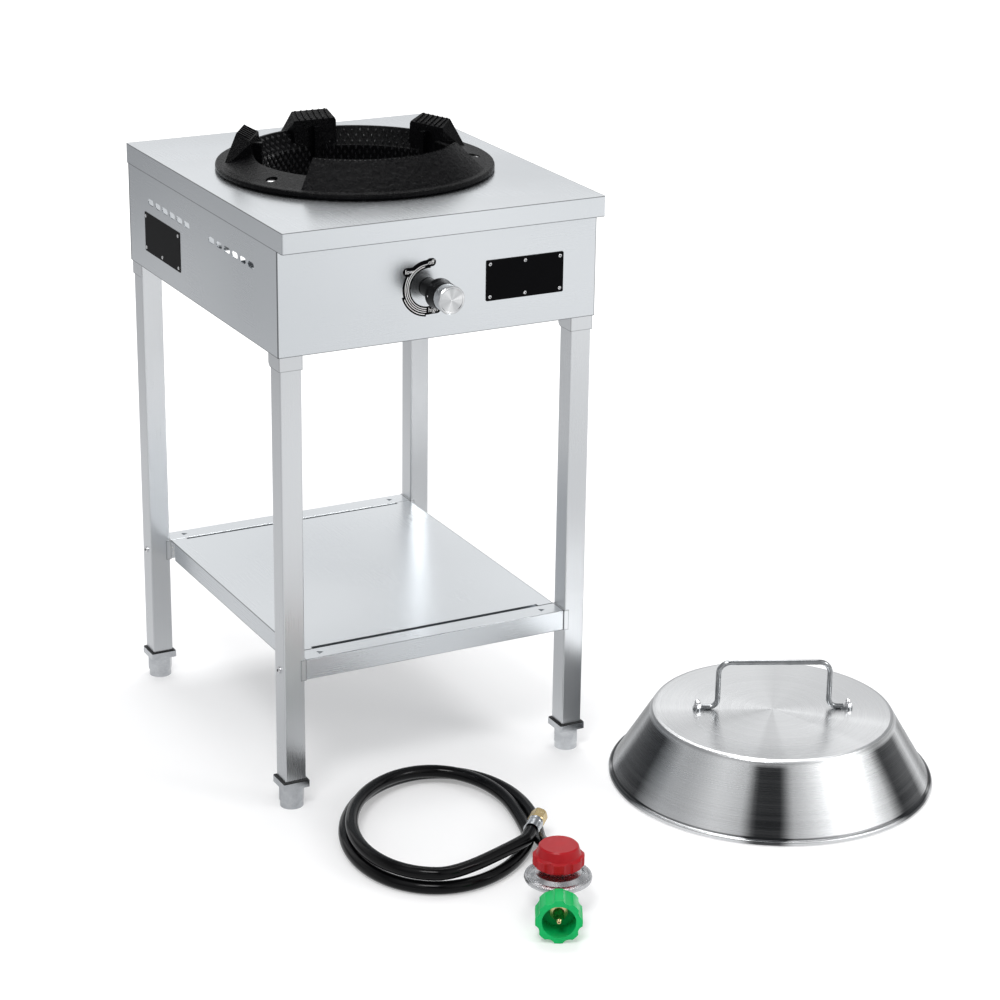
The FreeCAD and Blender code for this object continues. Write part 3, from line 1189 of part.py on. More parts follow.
def make_regulator():
    centre = Vector(regulator_x, regulator_y, arm_height)
    up = Vector(0, 0, 1)
    back = Vector(0, 1, 0)
    front = Vector(0, -1, 0)
    rise = value(d.disc_rise)
    rim = value(d.disc_radius)
    tower = value(d.tower_radius)
    top = value(d.tower_rise)
    arm = value(d.arm_radius)
    bowl = turned_solid([(0, -arm - 2), (arm, -arm - 2), (arm + 4, -arm + 4), (arm + 6, 4),
                         (rim - 3, rise - 6), (rim, rise - 4), (rim + 0.8, rise - 1),
                         (rim, rise + 2), (rim - 3, rise + 3), (rim - 5, rise + 1.4),
                         (rim - 8, rise + 2.5), (rim - 14, rise + 7), (tower + 4, rise + 9),
                         (tower + 1, rise + 12), (tower + 1, top - 12), (tower, top - 12),
                         (tower, top), (0, top)], centre, up)
    inlet = Part.makeCylinder(arm, value(d.inlet_arm), centre, front)
    outlet = Part.makeCylinder(arm - 2.5, value(d.regulator_arm) - 8, centre, back)
    outlet_hex = hex_solid(2 * arm - 4, 8, centre + back * (value(d.regulator_arm) - 8), back)
    keep("regulator_body", local(bowl.fuse([inlet, outlet, outlet_hex])))

    probe = value(d.probe_radius)
    fit = value(d.swivel_fit)
    gap = value(d.swivel_gap)
    long = value(d.cylinder_nut_length)
    probe_start = centre + front * value(d.inlet_arm)
    stem = turned_solid([(0, 0), (probe, 0), (probe, 15), (probe + 3, 15), (probe + 3, 19),
                         (probe - 1, 20), (probe - 1.5, 29), (probe - 4, 33), (probe - 5, 44),
                         (probe - 6.5, 46), (1.2, 46), (1.2, 20), (0, 20)],
                        probe_start, front)
    keep("cylinder_probe", local(stem))
    nut_start = probe_start + front * gap
    outer = lobed(value(d.cylinder_nut_radius), 3.2, long, nut_start, front)
    shape = turned_solid([(probe + fit, -1), (value(d.cylinder_nut_radius) - 9, -1),
                          (value(d.cylinder_nut_radius) + 1, 12),
                          (value(d.cylinder_nut_radius) + 1, long + 1),
                          (value(d.cylinder_nut_bore), long + 1),
                          (value(d.cylinder_nut_bore), 14), (probe + fit, 14)],
                         nut_start, front)
    keep("cylinder_nut", local(outer.common(shape)))

    grip = value(d.dial_knob_radius)
    tall = value(d.dial_knob_height)
    foot = centre + up * (top - 10)
    outer = lobed(grip, 2.6, tall, foot, up)
    shape = turned_solid([(tower + 0.09, -1), (grip - 5, -1), (grip + 1, 4), (grip + 1, 15),
                          (grip - 3, 17), (grip - 5, 18), (grip - 8, tall - 2),
                          (grip - 10, tall), (0, tall), (0, 10 + gap), (tower + 0.09, 10 + gap)],
                         foot, up)
    keep("regulator_knob", local(outer.common(shape)))
    print("regulator axis", hose_place.multVec(centre), hose_place.Rotation.multVec(front))


make_top_plate()
make_panels()
pads = []
for corner, (sx, sy) in CORNERS.items():
    make_leg(corner, sx, sy)
    make_socket(corner, sx, sy)
    pads.append(make_foot_parts(corner, sx, sy))
    make_bracket(corner, sx, sy)
keep("leg_pads", group(*pads))
make_leg_bolts()
make_rail("front_rail", -1)
make_rail("back_rail", 1)
make_shelf()
make_wok_ring()
make_burner()
make_mixer()
make_valve()
make_gas_line()
make_knob()
make_dial()
make_plates()
make_cover()
make_hose()
make_regulator()

# ---- check and write ---------------------------------------------------------------------------
doc.recompute()
for thing in doc.Objects:
    for word in ("Invalid", "Error"):
        if word in thing.State:
            raise SystemExit(f"{thing.Name} ({thing.Label}) failed: {thing.State}")
os.makedirs("parts", exist_ok=True)
for node, thing in nodes.items():
    shape = thing.Shape
    if shape.isNull() or not shape.isValid() or not shape.Solids:
        raise SystemExit(f"{node} has no valid solid")
for node, thing in nodes.items():
    thing.Shape.exportStep(f"parts/{node}.step")
print(len(nodes), "sub-parts written")
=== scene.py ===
# %% [markdown]
# # A wok range, dressed for its portrait
# The object is a free-standing gas wok range: a stainless cabinet on four tube legs, a cast-iron
# ring over the burner, and beside it the burner's cover and the gas hose with its regulator. The
# construction comes packed from CAD as a fixed frame. Here each part of it gets its finish, and
# the pieces that are too fine or too soft for CAD are modelled: the hose, the dial's print, the
# nubs on the ring and the sockets of the screws.

# %% Load the frame
import math

import bmesh
import bpy
from mathutils import Matrix, Vector


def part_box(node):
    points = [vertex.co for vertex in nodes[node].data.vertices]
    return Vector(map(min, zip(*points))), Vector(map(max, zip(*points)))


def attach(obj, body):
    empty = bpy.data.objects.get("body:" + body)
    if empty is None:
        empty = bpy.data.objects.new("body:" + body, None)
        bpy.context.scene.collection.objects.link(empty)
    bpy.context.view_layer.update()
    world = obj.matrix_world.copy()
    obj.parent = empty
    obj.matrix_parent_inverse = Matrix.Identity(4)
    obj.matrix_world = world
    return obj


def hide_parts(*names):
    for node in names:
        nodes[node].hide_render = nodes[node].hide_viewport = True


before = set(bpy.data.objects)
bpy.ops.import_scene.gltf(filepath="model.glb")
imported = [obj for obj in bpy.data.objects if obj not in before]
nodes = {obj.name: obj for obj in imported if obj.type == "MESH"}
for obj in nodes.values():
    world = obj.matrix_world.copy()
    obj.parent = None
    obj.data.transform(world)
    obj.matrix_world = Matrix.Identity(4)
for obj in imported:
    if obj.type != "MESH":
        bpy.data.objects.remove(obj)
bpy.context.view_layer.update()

# %% [markdown]
# ## The camera
# A camera is a place, a direction and a lens. These were found by fitting the corners of the
# cabinet, so the picture is taken as the photograph was: from the left front, looking down a
# little, through a long lens that keeps the legs nearly parallel.

# %% Camera
CAMERA_PLACE = Vector((-1.7009, -3.6688, 1.8517))
CAMERA_YAW = math.radians(28.013)
CAMERA_PITCH = math.radians(20.326)
CAMERA_ROLL = 0.0146
LENS = 100.34

forward = Vector((math.sin(CAMERA_YAW) * math.cos(CAMERA_PITCH),
                  math.cos(CAMERA_YAW) * math.cos(CAMERA_PITCH), -math.sin(CAMERA_PITCH)))
level = Vector((math.cos(CAMERA_YAW), -math.sin(CAMERA_YAW), 0))
upward = level.cross(forward)
right = level * math.cos(CAMERA_ROLL) + upward * math.sin(CAMERA_ROLL)
above = upward * math.cos(CAMERA_ROLL) - level * math.sin(CAMERA_ROLL)

camera_data = bpy.data.cameras.new("camera")
camera_data.lens = LENS
camera_data.sensor_width = 36
camera = bpy.data.objects.new("camera", camera_data)
bpy.context.scene.collection.objects.link(camera)
turn = Matrix((right, above, -forward)).transposed().to_4x4()
camera.matrix_world = Matrix.Translation(CAMERA_PLACE) @ turn
bpy.context.scene.camera = camera
print("camera stands", round(CAMERA_PLACE.length, 2), "m from the origin")

# %% [markdown]
# ## A small language for finishes
# A finish is a tree of shader nodes. Wiring nodes by hand hides what they do, so a small class
# wraps a socket and lets ordinary arithmetic make the Math nodes: `0.3 + grain * 0.1` reads as
# what it means. Every other node comes from one method.

# %% Sockets that can be added and multiplied
class Shade:
    """A socket that carries a value over the surface."""

    def __init__(self, finish, socket):
        self.finish = finish
        self.socket = socket

    def maths(self, operation, first, second):
        return self.finish.node("ShaderNodeMath", {"operation": operation},
                                {0: first, 1: second})

    def __add__(self, other):
        return self.maths("ADD", self, other)

    def __radd__(self, other):
        return self.maths("ADD", other, self)

    def __sub__(self, other):
        return self.maths("SUBTRACT", self, other)

    def __rsub__(self, other):
        return self.maths("SUBTRACT", other, self)

    def __mul__(self, other):
        return self.maths("MULTIPLY", self, other)

    def __rmul__(self, other):
        return self.maths("MULTIPLY", other, self)

    def __truediv__(self, other):
        return self.maths("DIVIDE", self, other)

    def __abs__(self):
        return self.maths("ABSOLUTE", self, 0.0)


def socket_name(word):
    """The shader's own name for a socket: specular_ior_level is Specular IOR Level."""
    return word.replace("_", " ").title().replace("Ior", "IOR")


class Finish:
    """A material round one Principled shader. Constants are set on the shader's own sockets."""

    def __init__(self, name, **constants):
        self.material = bpy.data.materials.new(name)
        self.material.use_nodes = True
        self.tree = self.material.node_tree
        self.shader = self.tree.nodes["Principled BSDF"]
        for socket, amount in constants.items():
            self.shader.inputs[socket_name(socket)].default_value = amount

    def node(self, kind, settings=None, inputs=None, output=0):
        made = self.tree.nodes.new(kind)
        for name, setting in (settings or {}).items():
            if name == "stops":
                ramp = made.color_ramp
                ramp.elements[0].position, ramp.elements[0].color = setting[0]
                ramp.elements[1].position, ramp.elements[1].color = setting[-1]
                for place, colour in setting[1:-1]:
                    ramp.elements.new(place).color = colour
            else:
                setattr(made, name, setting)
        for name, item in (inputs or {}).items():
            self.feed(made.inputs[name], item)
        return Shade(self, made.outputs[output])

    def feed(self, socket, item):
        if isinstance(item, Shade):
            self.tree.links.new(item.socket, socket)
        else:
            socket.default_value = item

    def set(self, **inputs):
        for name, item in inputs.items():
            self.feed(self.shader.inputs[socket_name(name)], item)

    def vector(self, operation, first, second=(0, 0, 0), output=0):
        return self.node("ShaderNodeVectorMath", {"operation": operation},
                         {0: first, 1: second}, output=output)

    def along(self, letter, spot):
        """One of a point's three numbers: X, Y or Z."""
        return self.node("ShaderNodeSeparateXYZ", {}, {0: spot}, output=letter)

    def place(self, scale=(1, 1, 1), centre=(0, 0, 0), turn=(0, 0, 0)):
        """Where a point lies on the piece, moved to a centre, turned and stretched."""
        spot = self.node("ShaderNodeTexCoord", output="Object")
        moved = self.vector("SUBTRACT", spot, centre)
        return self.node("ShaderNodeMapping", {}, {"Vector": moved, "Rotation": turn,
                                                   "Scale": scale})

    def noise(self, spot, scale=1.0, detail=2.0, roughness=0.5):
        return self.node("ShaderNodeTexNoise", {}, {"Vector": spot, "Scale": scale,
                                                    "Detail": detail, "Roughness": roughness})

    def circles(self, reach, rise, fine, detail=3.0, roughness=0.7, slice_at=0.0):
        """Noise that runs in circles: it varies with the reach from an axis and the rise."""
        track = self.node("ShaderNodeCombineXYZ", {}, {"X": reach * fine[0],
                                                       "Y": rise * fine[1], "Z": slice_at})
        return self.noise(track, 1.0, detail, roughness)

    def tint(self, factor, dark, light):
        """A colour between two, by a factor from 0 to 1. Either may vary too."""
        ends = [tone if isinstance(tone, Shade) else (*tone, 1) for tone in (dark, light)]
        return self.node("ShaderNodeMix", {"data_type": "RGBA"},
                         {"Factor": factor, 6: ends[0], 7: ends[1]}, output=2)

    def clamped(self, amount):
        return self.node("ShaderNodeMath", {"operation": "ADD", "use_clamp": True},
                         {0: amount, 1: 0.0})

    def edges(self, low, high, width):
        """1 along the edges of a box and 0 from a width inside them."""
        middle, half = (low + high) / 2, (high - low) / 2
        spot = self.place((1, 1, 1), tuple(middle))
        near = []
        for reach, letter in zip(half, "XYZ"):
            inside = reach - abs(self.along(letter, spot))
            near.append(self.clamped(1 - inside / width))
        return self.clamped(near[0] + near[1] + near[2] - 1)

    def bump(self, height, strength=0.2, distance=0.001):
        return self.node("ShaderNodeBump", {}, {"Height": height, "Strength": strength,
                                                "Distance": distance})


def dress(finish, *names):
    """Give CAD nodes a finish."""
    for name in names:
        mesh = nodes[name].data
        mesh.materials.clear()
        mesh.materials.append(finish.material)


# %% [markdown]
# ## Brushed stainless sheet
# A brushing belt leaves fine scratches that all run one way. Noise that is stretched along that
# way gives both the streaks in the colour and the tiny ridges that spread the reflection. Slow
# clouds on top of it keep a large panel from looking like a computer's idea of steel, and a few
# faint wipe marks dull the polish in patches. Where a sheet is bent, its small radius mirrors the
# dark of the room as a thin line. Here that line is painted: it is a dark tone along the edges of
# the node's box, so each node gets a finish of its own.

# %% Brushed steel
STEEL_LIGHT = (0.82, 0.845, 0.865)
STEEL_DARK = (0.58, 0.605, 0.63)
LEG_LIGHT = (0.80, 0.815, 0.83)
LEG_DARK = (0.58, 0.595, 0.61)
GRAIN_ACROSS = 2600
GRAIN_ALONG = 9
BEND_SHADE = (0.03, 0.032, 0.035)
BEND_WIDTH = 0.0014


def brushed(name, along, light=STEEL_LIGHT, dark=STEEL_DARK, dull=0.25, line=1.0):
    """Dress a node in steel brushed along one axis: 0 for X, 1 for Y, 2 for Z."""
    finish = Finish(f"{name}_steel", metallic=1.0)
    stretch = [GRAIN_ACROSS] * 3
    stretch[along] = GRAIN_ALONG
    grain = finish.noise(finish.place(stretch), 1.0, 2.0, 0.5)
    clouds = finish.noise(finish.place((2.3, 2.3, 2.3), (0.7, 0.2, 0.4)), 1.0, 0.0, 0.5)
    wipes = finish.noise(finish.place((7, 7, 7), (0.3, 0.1, 0.2)), 1.0, 2.0, 0.5)
    steel = finish.tint(grain * 0.25 + clouds * 1.15 - 0.2, dark, light)
    bend = finish.edges(*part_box(name), BEND_WIDTH)
    finish.set(base_color=finish.tint(bend * line, steel, BEND_SHADE),
               roughness=dull - 0.06 + grain * 0.05 + wipes * 0.1,
               normal=finish.bump(grain, 0.03, 0.0003))
    dress(finish, name)


WIDE_SHEETS = ("front_panel", "back_panel", "front_rail", "back_rail", "burner_bracket")
DEEP_SHEETS = ("top_plate", "shelf_panel", "left_side_panel", "right_side_panel")
LEGS = ("front_left", "front_right", "back_left", "back_right")
LEG_PIECES = ("leg", "leg_socket", "rail_bracket")
for name in WIDE_SHEETS:
    brushed(name, 0)
for name in DEEP_SHEETS:
    brushed(name, 1)
for leg in LEGS:
    for piece in LEG_PIECES:
        brushed(f"{leg}_{piece}", 2, LEG_LIGHT, LEG_DARK, 0.28, 0.6)
sheet_count = len(WIDE_SHEETS) + len(DEEP_SHEETS)
print("steel on", sheet_count + len(LEGS) * len(LEG_PIECES), "nodes")

# %% [markdown]
# ## The spun cover
# The cover is spun on a lathe and brushed while it turns, so its scratches are circles. On such a
# surface light gathers in fans that point at the middle. The shader's anisotropy makes part of
# them by itself where no tangent is given. The rest is painted into the colour: a ramp of tones
# round the axis, turned to the side that the photograph was taken from, strong on the cone and
# faint on the flat top, with a dark line at the rim and one at the shoulder. Such paint is a
# shortcut and not good practice: it stays where it is when the light or the view changes, so it
# is true from one side alone. The rings are noise over the distance from the axis.

# %% Spun steel
cover_low, cover_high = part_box("cover_shell")
COVER_CENTRE = (cover_low + cover_high) / 2
FANS = ((0.0, 0.15), (0.04, 0.75), (0.12, 0.9), (0.19, 0.4), (0.25, 0.3), (0.270, 0.7),
        (0.290, 0.1), (0.345, 0.0), (0.385, 0.85), (0.445, 1.0), (0.474, 0.85), (0.486, 0.0),
        (0.513, 0.0), (0.526, 0.8), (0.58, 1.0), (0.640, 0.85), (0.658, 0.0), (0.70, 0.0),
        (0.722, 0.8), (0.745, 0.2), (0.80, 0.7), (0.88, 0.95), (0.96, 0.7), (1.0, 0.15))
FAN_FRONT = math.radians(-124)
SHOULDER = 0.005
RIM_TOP = 0.0088
RIM_LINE = 0.0018
SHOULDER_LINE = 0.004
FINE_CIRCLES = (1400, 900)
WIDE_CIRCLES = (160, 90)


def spun(name, centre, light, dark, dull, sheen):
    """Steel brushed in circles round an upright axis."""
    finish = Finish(name, metallic=1.0, anisotropic=sheen)
    spot = finish.place((1, 1, 1), tuple(centre))
    flat = finish.vector("MULTIPLY", spot, (1, 1, 0))
    reach = finish.vector("LENGTH", flat, output="Value")
    rise = finish.along("Z", spot)
    rings = finish.circles(reach, rise, FINE_CIRCLES)
    bands = finish.circles(reach, rise, WIDE_CIRCLES, 2.0, 0.5, 3.0)
    clouds = finish.noise(finish.place((5, 5, 5)), 1.0, 2.0, 0.5)
    turned_spot = finish.place((1, 1, 1), tuple(centre), (0, 0, -FAN_FRONT))
    across = finish.along("X", turned_spot)
    aside = finish.along("Y", turned_spot)
    around = across.maths("ARCTAN2", aside, across) / (2 * math.pi) + 0.5
    stops = [(place, (tone, tone, tone, 1)) for place, tone in FANS]
    fans = finish.node("ShaderNodeValToRGB", {"stops": stops},
                       {0: around + clouds * 0.02 - 0.01})
    shell_top = cover_high.z - centre.z
    cone = finish.clamped((shell_top - SHOULDER - rise) / SHOULDER)
    from_rim = abs(rise + (centre.z - RIM_TOP))
    from_shoulder = abs(rise - (shell_top - SHOULDER * 0.6))
    lines = finish.clamped(1 - from_rim / RIM_LINE) * 0.75 \
        + finish.clamped(1 - from_shoulder / SHOULDER_LINE) * 0.35
    mixed = rings * 0.12 + bands * 0.10 + clouds * 0.06 + fans * (0.12 + cone * 0.80) \
        + (1 - cone) * 0.72 - 0.10 - lines
    finish.set(base_color=finish.tint(mixed, dark, light),
               roughness=dull - 0.05 + rings * 0.1,
               normal=finish.bump(rings + bands, 0.06, 0.0004))
    return finish


cover_steel = spun("cover_spun", COVER_CENTRE, (0.88, 0.89, 0.90), (0.04, 0.042, 0.045),
                   0.28, 0.75)
dress(cover_steel, "cover_shell")
print("the cover's middle is at", [round(part, 3) for part in COVER_CENTRE])

# %% [markdown]
# ## Small bright metal
# Rods, nuts and screws are polished or plated rather than brushed. They share one recipe: a
# bright metal with a soft cloudy dullness and the faintest of tool marks.

# %% Plated and polished metal
def bright(name, light, dark, dull, grit=500, strength=0.05):
    finish = Finish(name, metallic=1.0)
    clouds = finish.noise(finish.place((60, 60, 60)), 1.0, 3.0, 0.6)
    marks = finish.noise(finish.place((grit, grit, grit)), 1.0, 3.0, 0.6)
    finish.set(base_color=finish.tint(clouds, dark, light),
               roughness=dull - 0.06 + clouds * 0.06 + marks * 0.08,
               normal=finish.bump(marks, strength, 0.0003))
    return finish


rod_steel = bright("rod_polished", (0.50, 0.51, 0.52), (0.22, 0.23, 0.24), 0.12)
screw_steel = bright("screw_bright", (0.85, 0.85, 0.86), (0.66, 0.66, 0.67), 0.25)
zinc = bright("zinc_plated", (0.74, 0.76, 0.78), (0.42, 0.43, 0.45), 0.16, 300, 0.08)
brass = bright("brass_turned", (0.83, 0.68, 0.38), (0.62, 0.46, 0.22), 0.25)
copper = bright("copper_drawn", (0.80, 0.50, 0.34), (0.62, 0.36, 0.24), 0.35)
casting = bright("regulator_cast", (0.66, 0.665, 0.675), (0.44, 0.445, 0.46), 0.26, 260, 0.1)
dress(rod_steel, "cover_handle")
dress(screw_steel, "cover_nuts", "leg_bolts", "ring_bolts", "burner_bolts", "valve_stem",
      "name_plate_screws", "data_plate_rivets")
dress(zinc, *[f"{leg}_foot" for leg in LEGS], *[f"{leg}_foot_cap" for leg in LEGS],
      "air_shutter", "hose_ferrules")
dress(brass, "gas_valve", "gas_injector", "gas_inlet", "cylinder_probe", "flare_nut")
dress(copper, "gas_pipe")
dress(casting, "regulator_body")
bright_metals = (rod_steel, screw_steel, zinc, brass, copper, casting)
print("bright metals:", [finish.material.name for finish in bright_metals])

# %% [markdown]
# ## Black cast iron
# The ring is sand-cast and then enamelled black. The sand leaves a fine pebbled skin, which the
# enamel softens. Two sizes of noise in the bump give the skin, and the roughness follows the
# coarser one, so the light breaks up on it as on the real thing.

# %% Cast iron
def cast_iron(name, shade, dull, strength, gloss=0.06):
    finish = Finish(name, metallic=0.0, specular_ior_level=gloss)
    pebble = finish.noise(finish.place((700, 700, 700)), 1.0, 3.0, 0.55)
    swell = finish.noise(finish.place((110, 110, 110)), 1.0, 2.0, 0.5)
    dust = finish.noise(finish.place((24, 24, 24)), 1.0, 4.0, 0.6)
    finish.set(base_color=finish.tint(dust, [part * 0.75 for part in shade],
                                      [part * 1.5 for part in shade]),
               roughness=dull - 0.08 + pebble * 0.1 + swell * 0.1,
               normal=finish.bump(pebble * 0.6 + swell, strength, 0.0016))
    return finish


enamelled_iron = cast_iron("iron_enamelled", (0.0012, 0.0012, 0.0015), 0.25, 0.75)
# The nubs are the same enamelled iron as the ring. Their lighter tone is a painted highlight, and
# their higher gloss is the shader's own.
nub_iron_painted_highlight = cast_iron("iron_nubs_painted_highlight", (0.010, 0.010, 0.011), 0.26, 0.2, 0.9)
burner_iron = cast_iron("iron_burner", (0.035, 0.034, 0.033), 0.62, 0.45)
dress(enamelled_iron, "wok_ring")
dress(burner_iron, "burner_head", "mixer_tube")
print("irons:", [iron.material.name for iron in (enamelled_iron, nub_iron_painted_highlight, burner_iron)])

# %% [markdown]
# ## Plastics, plates and rubber
# Moulded plastic is smooth with a faint orange-peel, and its colour varies a touch in soft
# clouds. The plates are anodised black sheet.

# %% Plastics
def moulded(name, colour, dull, peel=0.04, fleck=0.2, gloss=0.35):
    finish = Finish(name, metallic=0.0, specular_ior_level=gloss)
    skin = finish.noise(finish.place((420, 420, 420)), 1.0, 2.0, 0.5)
    clouds = finish.noise(finish.place((40, 40, 40)), 1.0, 3.0, 0.5)
    low = [part * (1 - fleck) for part in colour]
    high = [min(1.0, part * (1 + fleck)) for part in colour]
    finish.set(base_color=finish.tint(clouds, low, high),
               roughness=dull - 0.04 + clouds * 0.05 + skin * 0.04,
               normal=finish.bump(skin, peel, 0.0004))
    return finish


red_plastic = moulded("plastic_red", (0.36, 0.006, 0.011), 0.30, gloss=0.22)
green_plastic = moulded("plastic_green", (0.0, 0.41, 0.105), 0.30, gloss=0.22)
black_plastic = moulded("plastic_black", (0.003, 0.003, 0.0035), 0.26, gloss=0.1)
plate_black = moulded("plate_anodised", (0.002, 0.002, 0.0025), 0.34, 0.06, gloss=0.035)
pad_rubber = moulded("rubber_pad", (0.02, 0.02, 0.021), 0.6, 0.15)
hose_rubber = moulded("rubber_hose", (0.0018, 0.0018, 0.0022), 0.17, 0.08, gloss=0.16)
dress(red_plastic, "regulator_knob")
dress(green_plastic, "cylinder_nut")
dress(black_plastic, "knob_skirt")
dress(plate_black, "name_plate", "dial_plate", "data_plate")
dress(pad_rubber, "leg_pads")
plastics = (red_plastic, green_plastic, black_plastic, plate_black, pad_rubber, hose_rubber)
print("plastics and rubbers:", [finish.material.name for finish in plastics])

# %% [markdown]
# ## The knob's turned face
# The barrel is bar stock turned on a lathe: rings on its face round the knob's axis. The axis
# runs front to back here, so the distance is taken in the X-Z plane. The soft fans of light
# across the rings are a painted reflection, made as noise over the direction from the axis.

# %% Turned aluminium
knob_low, knob_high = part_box("knob_barrel")
KNOB_CENTRE = (knob_low + knob_high) / 2
KNOB_CIRCLES = (2600, 1500)
turned = Finish("aluminium_turned", metallic=1.0)
knob_spot = turned.place((1, 1, 1), tuple(KNOB_CENTRE))
knob_flat = turned.vector("MULTIPLY", knob_spot, (1, 0, 1))
knob_reach = turned.vector("LENGTH", knob_flat, output="Value")
# Painted reflection: soft fans of light across the rings, in the colour.
knob_reflection_fans = turned.noise(turned.vector("NORMALIZE", knob_flat), 1.7, 0.0, 0.5)
knob_rings = turned.circles(knob_reach, turned.along("Y", knob_spot), KNOB_CIRCLES)
turned.set(base_color=turned.tint(knob_rings * 0.25 + knob_reflection_fans * 1.5 - 0.4,
                                  (0.46, 0.47, 0.48), (0.90, 0.905, 0.91)),
           roughness=0.2 + knob_rings * 0.1,
           normal=turned.bump(knob_rings, 0.02, 0.0002))
dress(turned, "knob_barrel")
print("the knob's middle is at", [round(part, 3) for part in KNOB_CENTRE])

# %% [markdown]
# ## The gas hose
# A hose is a fixed length of stiff rubber tube, and here it lies on the floor in two loose turns,
# the second on the first. A NURBS curve with a round bevel is the right tool: the control points
# say where the hose goes, and the curve rounds them as the rubber would. The turns come from a
# formula, the lead from the regulator's outlet is a short list of points.

# %% Where the hose lies
HOSE_CENTRE = Vector((-0.080, -0.445, 0))
HOSE_TURN = math.radians(-28)
HOSE_RADIUS = 0.0095
FLOOR_GAP = 0.0003
LOOP_ACROSS = 0.136
LOOP_DEEP = 0.185
LOOP_FLARE = 0.008
HOSE_LAY = 0.0211
OUTLET = Vector((0.170, -0.147, 0.0323))
LAY_HEIGHT = HOSE_RADIUS + FLOOR_GAP
POINTS_PER_TURN = 16
COIL_TURNS = 1.86
COIL_START = 0.6
FLARE_FADE = 4
CLIMB_RATE = 120
CLIMB_TOP = 88


def on_floor(spot):
    """From the hose's own frame to the object's."""
    return HOSE_CENTRE + Matrix.Rotation(HOSE_TURN, 3, "Z") @ spot


def coil_point(turn):
    """A point of the hose's middle line after so many turns."""
    angle = 2 * math.pi * turn
    lap = turn if turn < 1 else turn - 1
    across = LOOP_ACROSS + LOOP_FLARE * max(0.0, 1 - FLARE_FADE * lap)
    deep = LOOP_DEEP
    height = LAY_HEIGHT
    if turn >= 1:
        climb = math.radians(min(CLIMB_RATE * (turn - 1), CLIMB_TOP))
        across -= HOSE_LAY * math.cos(climb)
        deep -= HOSE_LAY * math.cos(climb)
        height += HOSE_LAY * math.sin(climb)
    return Vector((across * math.cos(angle), deep * math.sin(angle), height))


END_ANGLE = math.radians(-22)
END_TURN = math.radians(74)
END_SLOPE = 0.055
end_spot = Vector(((LOOP_ACROSS + 0.003) * math.cos(END_ANGLE), LOOP_DEEP * math.sin(END_ANGLE),
                   LAY_HEIGHT + HOSE_LAY + 0.002))
end_way = Vector((math.cos(END_TURN), math.sin(END_TURN), END_SLOPE)).normalized()
route = [OUTLET, OUTLET + Vector((0, 0.016, 0)), OUTLET + Vector((-0.002, 0.042, -0.003)),
         Vector((0.158, -0.072, 0.0200)), Vector((0.148, -0.038, 0.0110)),
         Vector((0.1445, -0.010, LAY_HEIGHT))]
coil_points = int(POINTS_PER_TURN * COIL_TURNS)
route += [coil_point((step + COIL_START) / POINTS_PER_TURN) for step in range(coil_points)]
route += [end_spot - end_way * 0.012, end_spot, end_spot + end_way * 0.016]

hose_curve = bpy.data.curves.new("gas_hose_line", "CURVE")
hose_curve.dimensions = "3D"
hose_curve.bevel_depth = HOSE_RADIUS
hose_curve.bevel_resolution = 8
hose_curve.resolution_u = 8
hose_curve.use_fill_caps = True
line = hose_curve.splines.new("NURBS")
line.points.add(len(route) - 1)
for point, spot in zip(line.points, route):
    point.co = (*on_floor(spot), 1)
line.order_u = 3
line.use_endpoint_u = True
hose = bpy.data.objects.new("gas_hose_tube", hose_curve)
bpy.context.scene.collection.objects.link(hose)
hose_curve.materials.append(hose_rubber.material)
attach(hose, "gas_hose")
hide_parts("hose_coil")
tuple(on_floor(OUTLET))
print("the hose has", len(route), "points")

# %% [markdown]
# ## Making new pieces
# Each new piece starts as a bmesh in its place in metres, and becomes an object at the origin
# that rides on a body of the frame. Two helpers do the last steps for all of them.

# %% From bmesh to piece
def settle(name, mesh, finish, body):
    """A finished mesh becomes a piece that rides on a body."""
    mesh.materials.clear()
    mesh.materials.append(finish.material)
    piece = bpy.data.objects.new(name, mesh)
    bpy.context.scene.collection.objects.link(piece)
    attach(piece, body)
    print(name, "has", len(mesh.polygons), "faces")


def make_piece(name, form, finish, body, smooth=False):
    """A bmesh is cleaned, turned face outwards and settled on a body."""
    bmesh.ops.remove_doubles(form, verts=form.verts, dist=1e-6)
    bmesh.ops.recalc_face_normals(form, faces=form.faces)
    mesh = bpy.data.meshes.new(name)
    form.to_mesh(mesh)
    form.free()
    for face in mesh.polygons:
        face.use_smooth = smooth
    settle(name, mesh, finish, body)


def facing(normal, spot):
    """A frame at a spot whose Z axis points along a normal."""
    aim = Vector(normal).to_track_quat("Z", "Y").to_matrix().to_4x4()
    return Matrix.Translation(spot) @ aim


# %% [markdown]
# ## Nubs inside the ring
# The back of the ring's bore carries rows of small pointed nubs, set like a brick wall, which
# break up the flame's draught. A four-sided cone is such a nub. A loop over angle and row sets
# them into the wall from its lip far down into the bore, and leaves out the places where the
# prongs' fins stand. The wall's outline gives the radius at each row's height.

# %% Nubs
plate_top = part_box("top_plate")[1].z
NUB_ROWS = 11
NUB_RISE = 0.0076
NUB_TOP = 0.019
NUB_STEP = 4.4
NUB_FROM = 14
NUB_TO = 154
FIN_ANGLES = (19.5, 89, 146)
FIN_HALF = 3.4
NUB_BASE = 0.0034
NUB_TIP = 0.0007
NUB_DEEP = 0.0046
NUB_PROUD = 0.0012
NUB_LEAN = 0.6
NUB_SHAPE = (0.7, 1.9, 1, 1)
WALL = ((-0.08, 0.148), (-0.001, 0.148), (0.0, 0.150), (0.010, 0.158), (0.025, 0.166))


def wall_radius(height):
    """The bore's radius at a height over the plate, read off its outline."""
    for (low, start), (high, stop) in zip(WALL, WALL[1:]):
        if height <= high:
            return start + (stop - start) * (height - low) / (high - low)
    return WALL[-1][1]


